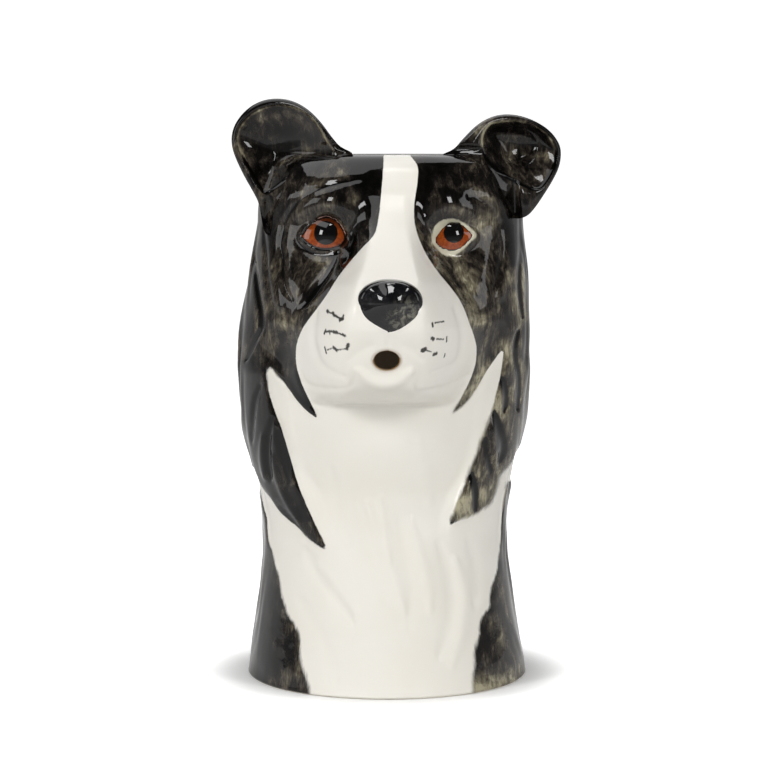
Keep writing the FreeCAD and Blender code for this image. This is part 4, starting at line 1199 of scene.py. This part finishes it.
def build_eye(name):
    """An eyeball's front, as large as the opening of its lids, with what its glaze reads."""
    ball, outline = ball_middle(name), smooth_outline(EYES[name][2])
    (pupil_u, pupil_v), radius = PUPILS[name]
    middle = tuple(np.mean(outline, axis=0))
    bm, polar, turn = unit_ball(96, 72)
    reach = reach_of(EYES[name][2], middle, turn) + EYE_OVERLAP * PIXELS_PER_MM
    u, v = pixels_at(middle, reach * np.sin(polar), turn)
    off_pupil = np.hypot(u - pupil_u, v - pupil_v) / PIXELS_PER_MM
    swell = CORNEA * np.clip(1 - (off_pupil / CORNEA_REACH) ** 2, 0, 1) ** 2
    points = on_ball(u, v, ball, EYE_BALL + swell)
    points[:, 1] += np.where(polar > math.pi / 2, EYE_BACK * np.abs(np.cos(polar)), 0.0)
    set_places(bm, points)
    eye = finished(bm, f"{name}_ball", name)
    u, v = seen_at(mesh_points(eye))
    off_edge = (np.hypot(u - pupil_u, v - pupil_v) - radius) / PIXELS_PER_MM
    in_lids = inside_by(u, v, outline) / PIXELS_PER_MM
    paint(eye, {"off_pupil": off_edge, "in_lids": in_lids, "from_top": (v - pupil_v) / radius})
    return eye


def colour(red, green, blue):
    """A colour given as it shows on a screen, 0 to 255."""
    parts = [part / 255 for part in (red, green, blue)]
    linear = [part / 12.92 if part < 0.04045 else ((part + 0.055) / 1.055) ** 2.4 for part in parts]
    return linear + [1.0]


class Glaze:
    """A material and short ways to add its nodes."""

    def __init__(self, name):
        self.material = bpy.data.materials.new(name)
        self.material.use_nodes = True
        self.tree = self.material.node_tree
        self.shader = self.tree.nodes["Principled BSDF"]
        self.place = self.tree.nodes.new("ShaderNodeTexCoord").outputs["Object"]

    def link(self, value, socket):
        """Links a node's output to a socket, or sets the socket to a plain value."""
        if isinstance(value, bpy.types.NodeSocket):
            self.tree.links.new(value, socket)
        else:
            socket.default_value = value

    def value(self, name):
        """A value painted on the piece's vertices."""
        node = self.tree.nodes.new("ShaderNodeAttribute")
        node.attribute_name = name
        return node.outputs["Fac"]

    def sum(self, operation, *values):
        """One step of arithmetic."""
        node = self.tree.nodes.new("ShaderNodeMath")
        node.operation = operation
        for value, socket in zip(values, node.inputs):
            self.link(value, socket)
        return node.outputs[0]

    def times(self, first, second):
        """The product of two values."""
        return self.sum("MULTIPLY", first, second)

    def raised(self, value, by, amount):
        """A value raised by another one times an amount."""
        return self.sum("MULTIPLY_ADD", by, amount, value)

    def varied(self, value, noise, amount):
        """A value raised and lowered by a noise, whose middle is 0.5."""
        return self.raised(value, self.sum("SUBTRACT", noise, 0.5), amount)

    def noise(self, scale, detail=4.0, roughness=0.6, distortion=0.0, upright=1.0):
        """A noise in the piece's own places, drawn out along the height where upright is below 1."""
        place = self.place
        if upright != 1.0:
            stretch = self.tree.nodes.new("ShaderNodeMapping")
            self.link(place, stretch.inputs["Vector"])
            stretch.inputs["Scale"].default_value = (1.0, 1.0, upright)
            place = stretch.outputs[0]
        node = self.tree.nodes.new("ShaderNodeTexNoise")
        self.link(place, node.inputs["Vector"])
        node.inputs["Scale"].default_value = scale
        node.inputs["Detail"].default_value = detail
        node.inputs["Roughness"].default_value = roughness
        node.inputs["Distortion"].default_value = distortion
        return node.outputs["Fac"]

    def step(self, value, low, high):
        """0 at low and 1 at high, and smooth between them."""
        node = self.tree.nodes.new("ShaderNodeMapRange")
        node.interpolation_type = "SMOOTHSTEP"
        for part, socket in ((value, "Value"), (low, "From Min"), (high, "From Max")):
            self.link(part, node.inputs[socket])
        return node.outputs["Result"]

    def ramp(self, value, stops):
        """The colour of a value between stops: (place, colour)."""
        node = self.tree.nodes.new("ShaderNodeValToRGB")
        self.link(value, node.inputs["Fac"])
        points = node.color_ramp.elements
        while len(points) < len(stops):
            points.new(0.5)
        for point, (at, shade) in zip(points, stops):
            point.position = at
            point.color = shade
        return node.outputs["Color"]

    def mix(self, share, first, second):
        """The first colour where the share is 0, the second where it is 1."""
        node = self.tree.nodes.new("ShaderNodeMix")
        node.data_type = "RGBA"
        self.link(share, node.inputs["Factor"])
        for shade, name in ((first, "A"), (second, "B")):
            sockets = [socket for socket in node.inputs if socket.name == name]
            self.link(shade, next(socket for socket in sockets if socket.type == "RGBA"))
        return next(socket for socket in node.outputs if socket.type == "RGBA")

    def vector(self, operation, first, second):
        """One step of arithmetic with places."""
        node = self.tree.nodes.new("ShaderNodeVectorMath")
        node.operation = operation
        self.link(first, node.inputs[0])
        self.link(second, node.inputs["Scale"] if operation == "SCALE" else node.inputs[1])
        return node.outputs["Value" if operation in ("DISTANCE", "DOT_PRODUCT") else "Vector"]

    def apart(self, point):
        """Distance to a point."""
        return self.vector("DISTANCE", self.place, point)

    def off_stroke(self, start, end):
        """Distance to the straight stroke from start to end."""
        along = end - start
        from_start = self.vector("SUBTRACT", self.place, start)
        share = self.vector("DOT_PRODUCT", from_start, along / along.length_squared)
        return self.vector("DISTANCE", from_start, self.vector("SCALE", along, self.held(share)))

    def held(self, value):
        """The value kept between 0 and 1."""
        node = self.tree.nodes.new("ShaderNodeClamp")
        self.link(value, node.inputs["Value"])
        return node.outputs[0]

    def bump(self, height, strength, distance):
        """Makes the surface uneven by a height."""
        node = self.tree.nodes.new("ShaderNodeBump")
        node.inputs["Strength"].default_value = strength
        node.inputs["Distance"].default_value = distance
        self.link(height, node.inputs["Height"])
        self.link(node.outputs["Normal"], self.shader.inputs["Normal"])


WHITE = colour(231, 229, 223)
WARM_WHITE = colour(224, 219, 208)
PIGMENT = (
    (0.0, colour(3, 3, 2)),
    (0.25, colour(12, 10, 9)),
    (0.45, colour(34, 30, 26)),
    (0.62, colour(66, 60, 51)),
    (0.8, colour(106, 100, 83)),
    (1.0, colour(160, 154, 130)),
)
RING_CREAM = colour(205, 200, 178)
# Painted shade in and round the pouring hole.
HOLE_SHADE_BROWNS = (colour(158, 126, 86), colour(108, 84, 56))
# Painted shade deep inside the head.
INSIDE_SHADE_COLOUR = colour(130, 110, 86)
BARE_CLAYS = (colour(214, 206, 190), colour(190, 181, 164))
NOSE_BLACKS = (
    (0.0, colour(5, 5, 6)),
    (0.5, colour(13, 13, 15)),
    (0.66, colour(34, 34, 36)),
    (0.85, colour(86, 85, 80)),
)
NOSE_PALE_FLECKS = colour(122, 120, 108)
IRIS = ((0.25, colour(98, 34, 6)), (0.5, colour(132, 56, 14)), (0.75, colour(154, 78, 26)))
IRIS_SHADE, PUPIL_BLACK, LID_SHADE = colour(34, 18, 12), colour(9, 8, 8), colour(22, 13, 9)
# The pink of the left eye's lid line is partly a painted highlight.
WHISKER_BLACK, CUT_BLACK, LID_PINK_AND_HIGHLIGHT = colour(24, 20, 16), colour(8, 7, 6), colour(186, 150, 138)
FLOOR_WHITE = colour(246, 246, 245)

# The coat's tone, from 0, black, to 1, pale: on the head, on the ears and on the handle.
HEAD_TONE, EAR_TONE, HANDLE_TONE = 0.47, 0.33, 0.4
# How strongly the clear glaze shines on the coat, on the ears, and on the nose and the eyes.
COAT_SHINE, EAR_SHINE, WET_SHINE = 0.36, 0.3, 0.5
# Middle of the patch on the lower right of the nose that is flecked paler, in metres.
PALE_NOSE_PATCH = (0.0062, -0.0795, 0.1368)


def glossy(glaze, roughness, shine):
    """The clear glaze over the paint."""
    glaze.shader.inputs["IOR"].default_value = 1.45
    glaze.shader.inputs["Specular IOR Level"].default_value = shine
    glaze.link(roughness, glaze.shader.inputs["Roughness"])


def brushed_pigment(glaze, base, streaks):
    """Tone of the black and olive pigment brushed on in streaks, with the ears' painted highlights and
    shade.
    """
    clouds = glaze.noise(scale=72, detail=5, roughness=0.62, distortion=0.6)
    hairs = glaze.noise(scale=1500, detail=3, roughness=0.6, distortion=0.3, upright=0.12)
    tone = glaze.raised(base, glaze.value("lighter"), 0.36)
    for noise, amount in ((streaks, 1.15), (clouds, 1.7), (hairs, 0.3)):
        tone = glaze.varied(tone, noise, amount)
    # Darker where the glaze reads groove: in engraved lines and locks and the left eye's black lower lid
    # line, and on the ears as painted shade along the rim's lower fold.
    return glaze.raised(tone, glaze.step(glaze.value("groove"), 0.12, 0.62), -0.55)


def dabbed(glaze, under, marks, shade, ragged, strength):
    """The paint under a set of marks, with the marks dabbed on in a shade."""
    nearest = None
    for start, end, half_width in marks:
        away = glaze.sum("SUBTRACT", glaze.off_stroke(start, end), half_width)
        nearest = away if nearest is None else glaze.sum("MINIMUM", nearest, away)
    edge = glaze.varied(nearest, glaze.noise(scale=1300, detail=3, roughness=0.7), ragged)
    dab = glaze.step(edge, 0.2 * ragged, -0.28 * ragged)
    return glaze.mix(glaze.times(dab, strength), under, shade)


def coat_glaze(name, base, dabs=(), shine=COAT_SHINE):
    """White glaze with the black coat painted under it, and painted shade in the pouring hole and inside
    the head.
    """
    glaze = Glaze(name)
    streaks = glaze.noise(scale=380, detail=6, roughness=0.66, distortion=0.8, upright=0.34)
    pigment = glaze.ramp(brushed_pigment(glaze, base, streaks), PIGMENT)
    white = glaze.mix(glaze.noise(scale=28, detail=3), WHITE, WARM_WHITE)
    feather = glaze.value("feather")
    edge = glaze.varied(glaze.value("black"), streaks, glaze.times(feather, 3.2))
    black = glaze.step(edge, glaze.times(feather, -1.0), feather)
    shade = glaze.mix(black, white, pigment)
    pale_ring = glaze.step(glaze.varied(glaze.value("pale_ring"), streaks, 1.6), -0.3, 0.5)
    shade = glaze.mix(glaze.times(pale_ring, 0.82), shade, RING_CREAM)
    for dab in dabs:
        shade = dabbed(glaze, shade, *dab)
    # Painted shade in and round the pouring hole, in browns.
    hole_shade = glaze.mix(glaze.noise(scale=500, roughness=0.7), *HOLE_SHADE_BROWNS)
    shade = glaze.mix(glaze.value("throat"), shade, hole_shade)
    # Painted shade deepening down inside the head.
    shade = glaze.mix(glaze.value("inside_shade"), shade, INSIDE_SHADE_COLOUR)
    bare = glaze.value("bare")
    shade = glaze.mix(bare, shade, glaze.mix(glaze.noise(scale=900, roughness=0.7), *BARE_CLAYS))
    glaze.link(shade, glaze.shader.inputs["Base Color"])
    satin = glaze.raised(0.2, black, -0.15)
    glossy(glaze, glaze.raised(satin, bare, 0.5), shine)
    ripple = glaze.times(glaze.noise(scale=260, detail=2), 0.12)
    glaze.bump(glaze.sum("ADD", glaze.noise(scale=55, detail=2), ripple), 0.35, 0.0009)
    return glaze.material


def nose_glaze():
    """Glossy black with grey clouds, and paler flecks over one patch of the nose."""
    glaze = Glaze("nose glaze")
    clouds = glaze.noise(scale=240, detail=5, roughness=0.65, distortion=0.5)
    in_patch = glaze.step(glaze.apart(PALE_NOSE_PATCH), 0.0085, 0.002)
    flecks = glaze.noise(scale=420, detail=5, roughness=0.7, distortion=0.8)
    pale_flecks = glaze.times(glaze.times(in_patch, glaze.step(flecks, 0.44, 0.66)), 0.8)
    shade = glaze.mix(pale_flecks, glaze.ramp(clouds, NOSE_BLACKS), NOSE_PALE_FLECKS)
    glaze.link(shade, glaze.shader.inputs["Base Color"])
    glossy(glaze, 0.05, WET_SHINE)
    glaze.bump(glaze.noise(scale=120, detail=2), 0.3, 0.0006)
    return glaze.material


def eye_glaze():
    """A streaked brown iris with a painted shadow under the upper lid, round a black pupil, with painted
    shade along the lids' edges.
    """
    glaze = Glaze("eye glaze")
    streaks = glaze.noise(scale=1100, roughness=0.7, distortion=0.6)
    # Painted shadow of the upper lid over the top of the iris.
    shaded = glaze.times(glaze.step(glaze.value("from_top"), -0.05, -1.0), 0.75)
    iris = glaze.mix(shaded, glaze.ramp(streaks, IRIS), IRIS_SHADE)
    pupil = glaze.step(glaze.varied(glaze.value("off_pupil"), streaks, 0.5), 0.12, -0.12)
    lid_edge = glaze.step(glaze.varied(glaze.value("in_lids"), streaks, 0.3), 0.5, 0.1)
    shade = glaze.mix(lid_edge, glaze.mix(pupil, iris, PUPIL_BLACK), LID_SHADE)
    glaze.link(shade, glaze.shader.inputs["Base Color"])
    glossy(glaze, 0.03, WET_SHINE)
    return glaze.material


# Whisker marks, dabbed on with a small brush: (start, end, half width in millimetres).
WHISKER_DABS = (
    ((326.9, 310.6), (328.3, 312.0), 0.50),
    ((328.3, 311.8), (333.0, 314.0), 0.20),
    ((332.6, 312.8), (334.4, 315.6), 0.50),
    ((334.4, 315.2), (340.6, 318.6), 0.32),
    ((339.8, 319.8), (342.6, 318.6), 0.62),
    ((343.4, 315.6), (342.4, 319.4), 0.36),
    ((325.6, 330.4), (324.2, 333.6), 0.46),
    ((326.0, 331.6), (332.0, 331.4), 0.30),
    ((329.4, 331.0), (329.8, 333.6), 0.34),
    ((333.4, 331.8), (337.4, 332.6), 0.50),
    ((337.4, 332.8), (342.4, 334.8), 0.24),
    ((342.8, 334.6), (344.8, 335.6), 0.42),
    ((324.8, 347.4), (326.2, 352.6), 0.46),
    ((327.0, 350.0), (333.4, 347.8), 0.12),
    ((333.6, 347.4), (336.6, 350.0), 0.56),
    ((337.4, 349.8), (346.4, 348.6), 0.16),
    ((348.2, 344.4), (347.0, 348.6), 0.46),
    ((432.4, 323.6), (432.8, 325.8), 0.46),
    ((435.0, 322.8), (444.0, 321.4), 0.16),
    ((432.0, 338.2), (433.4, 339.2), 0.62),
    ((436.6, 339.0), (443.6, 339.2), 0.18),
    ((446.8, 337.4), (446.6, 341.4), 0.40),
    ((423.0, 350.4), (424.8, 349.4), 0.80),
    ((427.0, 350.6), (431.4, 351.8), 0.12),
    ((433.6, 354.6), (436.6, 353.4), 0.52),
    ((445.0, 354.2), (444.2, 356.8), 0.34),
)
# Engraved lines in the black of the base, and the pale upper edge of the left eye's lids, partly a
# painted highlight.
BASE_CUTS = (
    ((270, 558.5), (271, 567.7), (268.8, 581.5), (269.6, 594), (270, 600), (273, 612.3), (278, 629),
     (278, 634.6), (275.4, 640), (280.8, 644.6), (287, 647.7)),
    ((508.4, 642.3), (510.2, 650.8), (512, 664.6)),
)
LID_LINE_AND_HIGHLIGHT = (
    (301, 236), (306, 230), (312.5, 222.6), (320, 217.6), (327, 216), (335, 218.6), (341.4, 225.6),
    (345.4, 234),
)
# How much wider than given every mark comes out, in millimetres.
MARK_SPREAD = 0.14


def along(corners, half_width):
    """Straight strokes from corner to corner."""
    return [(start, end, half_width) for start, end in zip(corners, corners[1:])]


def marks_on(head, strokes):
    """Painted or engraved strokes on the head: both ends, found along the camera's rays, and half width.

    All are given back in metres.
    """
    corners = [vert.co for vert in head.data.vertices]
    surface = BVHTree.FromPolygons(corners, [face.vertices for face in head.data.polygons])
    camera = Vector(CAMERA_PLACE) * MM

    def on_head(place):
        far = placed_at(np.array([place[0]]), np.array([place[1]]), np.array([0.0]))[0]
        return surface.ray_cast(camera, Vector(far) * MM - camera)[0]

    marks = []
    for start, end, half_width in strokes:
        marks.append((on_head(start), on_head(end), (half_width + MARK_SPREAD) * MM))
    return marks


# The floor beside the jug glows less, where its shadow lies: that glow, how much of it the glaze
# mirrors, and the distances between which it fades to plain white.
FLOOR_GLOW, FLOOR_MIRRORED, FLOOR_FADE = 0.09, 0.3, (0.05, 0.08)
# Half size of the floor, how far it is moved forward, and its sweep up into the backdrop, in metres.
FLOOR_SIZE, FLOOR_SHIFT, SWEEP_RADIUS, SWEEP_STEPS, BACKDROP_HEIGHT = 6.0, -1.5, 1.5, 12, 3.0


def floor_white():
    """A floor that glows for the camera, less beside the jug, and lights nothing."""
    glaze = Glaze("pale floor")
    rays = glaze.tree.nodes.new("ShaderNodeLightPath").outputs
    mirrored = glaze.sum("MAXIMUM", rays["Is Glossy Ray"], rays["Is Transmission Ray"])
    seen = glaze.sum("MAXIMUM", rays["Is Camera Ray"], glaze.times(mirrored, FLOOR_MIRRORED))
    away = glaze.step(glaze.apart((0, 0, 0)), *FLOOR_FADE)
    glow = glaze.raised(FLOOR_GLOW, away, 1 - FLOOR_GLOW)
    glaze.shader.inputs["Base Color"].default_value = FLOOR_WHITE
    glaze.shader.inputs["Roughness"].default_value = 0.9
    glaze.shader.inputs["Specular IOR Level"].default_value = 0.0
    glaze.shader.inputs["Emission Color"].default_value = (1, 1, 1, 1)
    glaze.link(glaze.times(seen, glow), glaze.shader.inputs["Emission Strength"])
    return glaze.material


def stand_floor():
    """A pale floor that sweeps up into a white backdrop, well behind the jug."""
    bm = bmesh.new()
    bmesh.ops.create_grid(bm, x_segments=1, y_segments=1, size=FLOOR_SIZE)
    bmesh.ops.translate(bm, verts=bm.verts[:], vec=(0, FLOOR_SHIFT, 0))
    back = [edge for edge in bm.edges if all(vert.co.y > 4 for vert in edge.verts)]
    turns = [math.pi / 2 * k / SWEEP_STEPS for k in range(SWEEP_STEPS + 1)]
    for before, turn in zip(turns, turns[1:]):
        back, verts = pulled_on(bm, back)
        out, up = math.sin(turn) - math.sin(before), math.cos(before) - math.cos(turn)
        bmesh.ops.translate(bm, verts=verts, vec=Vector((0, out, up)) * SWEEP_RADIUS)
    back, verts = pulled_on(bm, back)
    bmesh.ops.translate(bm, verts=verts, vec=(0, 0, BACKDROP_HEIGHT))
    floor = placed_object(bm, "floor")
    floor.data.materials.append(floor_white())


# The room's glow at the horizon and overhead, and how steeply a ray rises where it meets the latter.
ROOM_GLOW, GLOW_TOP = (0.35, 0.05), 0.35
# Places that the lamps and the fills aim at, in metres.
LAMP_AIM, FILL_AIM = (0, 0, 0.14), (0, 0, 0.12)
# Lamps round the head: (name, azimuth, elevation, distance, width, height, brightness).
LAMPS = (
    ("top strip", 6, 60, 1.4, 0.4, 0.1, 16),
    ("left window", -47, 26, 1.6, 0.30, 0.52, 16),
    ("right window", 47, 26, 1.6, 0.27, 0.48, 15),
    ("left wall", -80, 17, 1.4, 0.45, 0.5, 3.0),
    ("right wall", 78, 15, 1.4, 0.35, 0.5, 2.8),
)


def softbox(name, place, aim, width, height, brightness):
    """A soft lamp that faces a point. Brightness is that of its face, where 1 is white."""
    lamp = bpy.data.lights.new(name, "AREA")
    lamp.shape, lamp.size, lamp.size_y = "RECTANGLE", width, height
    lamp.energy = brightness * math.pi * width * height
    holder = bpy.data.objects.new(name, lamp)
    bpy.context.scene.collection.objects.link(holder)
    holder.location = place
    holder.rotation_euler = (Vector(aim) - Vector(place)).to_track_quat("-Z", "Y").to_euler()
    return holder


def from_front(azimuth, elevation, distance):
    """A place round the head: azimuth to the right of the front, in degrees."""
    a, e = math.radians(azimuth), math.radians(elevation)
    flat = distance * math.cos(e)
    return (flat * math.sin(a), -flat * math.cos(a), LAMP_AIM[2] + distance * math.sin(e))


def light_studio():
    """A white room that glows less overhead, soft windows on both sides, and unseen fill lamps."""
    world = bpy.data.worlds.new("studio")
    bpy.context.scene.world = world
    world.use_nodes = True
    nodes, links = world.node_tree.nodes, world.node_tree.links
    nodes["Background"].inputs["Color"].default_value = (1, 1, 1, 1)
    direction = nodes.new("ShaderNodeTexCoord").outputs["Generated"]
    apart = nodes.new("ShaderNodeSeparateXYZ")
    links.new(direction, apart.inputs[0])
    fade = nodes.new("ShaderNodeMapRange")
    fade.interpolation_type = "SMOOTHSTEP"
    fade.inputs["To Min"].default_value, fade.inputs["To Max"].default_value = ROOM_GLOW
    fade.inputs["From Min"].default_value, fade.inputs["From Max"].default_value = 0.0, GLOW_TOP
    links.new(apart.outputs["Z"], fade.inputs["Value"])
    # The camera itself sees plain white all round.
    backdrop = nodes.new("ShaderNodeMath")
    backdrop.operation = "MAXIMUM"
    links.new(fade.outputs["Result"], backdrop.inputs[0])
    links.new(nodes.new("ShaderNodeLightPath").outputs["Is Camera Ray"], backdrop.inputs[1])
    links.new(backdrop.outputs[0], nodes["Background"].inputs["Strength"])
    overhead = softbox("overhead", (-0.25, 0.35, 1.35), (-0.1, 0.2, 0), 2.4, 1.6, 2.6)
    overhead.visible_diffuse = False
    for name, azimuth, elevation, distance, width, height, brightness in LAMPS:
        place = from_front(azimuth, elevation, distance)
        softbox(name, place, LAMP_AIM, width, height, brightness)
    left, right, above = from_front(-32, 17, 1.9), from_front(38, 17, 1.9), (-0.3, 0.1, 1.5)
    for place, width, brightness in ((left, 1.5, 1.52), (right, 1.5, 1.05), (above, 2.0, 0.24)):
        softbox("fill", place, FILL_AIM, width, 1.3, brightness).visible_glossy = False


def set_camera():
    """The camera in front of the jug, a little above its rim and tilted down."""
    camera = bpy.data.cameras.new("camera")
    camera.sensor_width = SENSOR_WIDTH
    camera.lens = FOCAL_PIXELS / FRAME_PIXELS * SENSOR_WIDTH
    holder = bpy.data.objects.new("camera", camera)
    bpy.context.scene.collection.objects.link(holder)
    holder.location = Vector(CAMERA_PLACE) * MM
    holder.rotation_euler = (math.radians(90 - CAMERA_TILT), 0, 0)
    bpy.context.scene.camera = holder


def paint_head(head):
    """Paints the coat, the whisker dabs, the cuts in the base and the left eye's pale lid line, which is
    partly a painted highlight.
    """
    inner = np.empty(len(head.data.vertices))
    head.data.attributes["inner"].data.foreach_get("value", inner)
    paint(head, painted_values(mesh_points(head), inner))
    cuts = along(BASE_CUTS[0], 0.1) + along(BASE_CUTS[1], 0.12)
    dabs = (
        (marks_on(head, WHISKER_DABS), WHISKER_BLACK, 0.001, 0.95),
        (marks_on(head, cuts), CUT_BLACK, 0.0003, 0.9),
        (marks_on(head, along(LID_LINE_AND_HIGHLIGHT, 0.1)), LID_PINK_AND_HIGHLIGHT, 0.0003, 0.7),
    )
    head.data.materials.append(coat_glaze("coat glaze", HEAD_TONE, dabs))


set_camera()
stand_floor()
light_studio()
paint_head(build_head())
ear_material = coat_glaze("ear glaze", EAR_TONE, shine=EAR_SHINE)
for name in EAR_SHAPES:
    ear = build_ear(name)
    paint(ear, {**ALL_BLACK, **ear_values(name, mesh_points(ear))})
    ear.data.materials.append(ear_material)
handle = build_handle()
paint(handle, ALL_BLACK)
handle.data.materials.append(coat_glaze("handle glaze", HANDLE_TONE))
build_nose().data.materials.append(nose_glaze())
eye_material = eye_glaze()
for name in EYES:
    build_eye(name).data.materials.append(eye_material)
bpy.context.scene.view_settings.view_transform = "Standard"
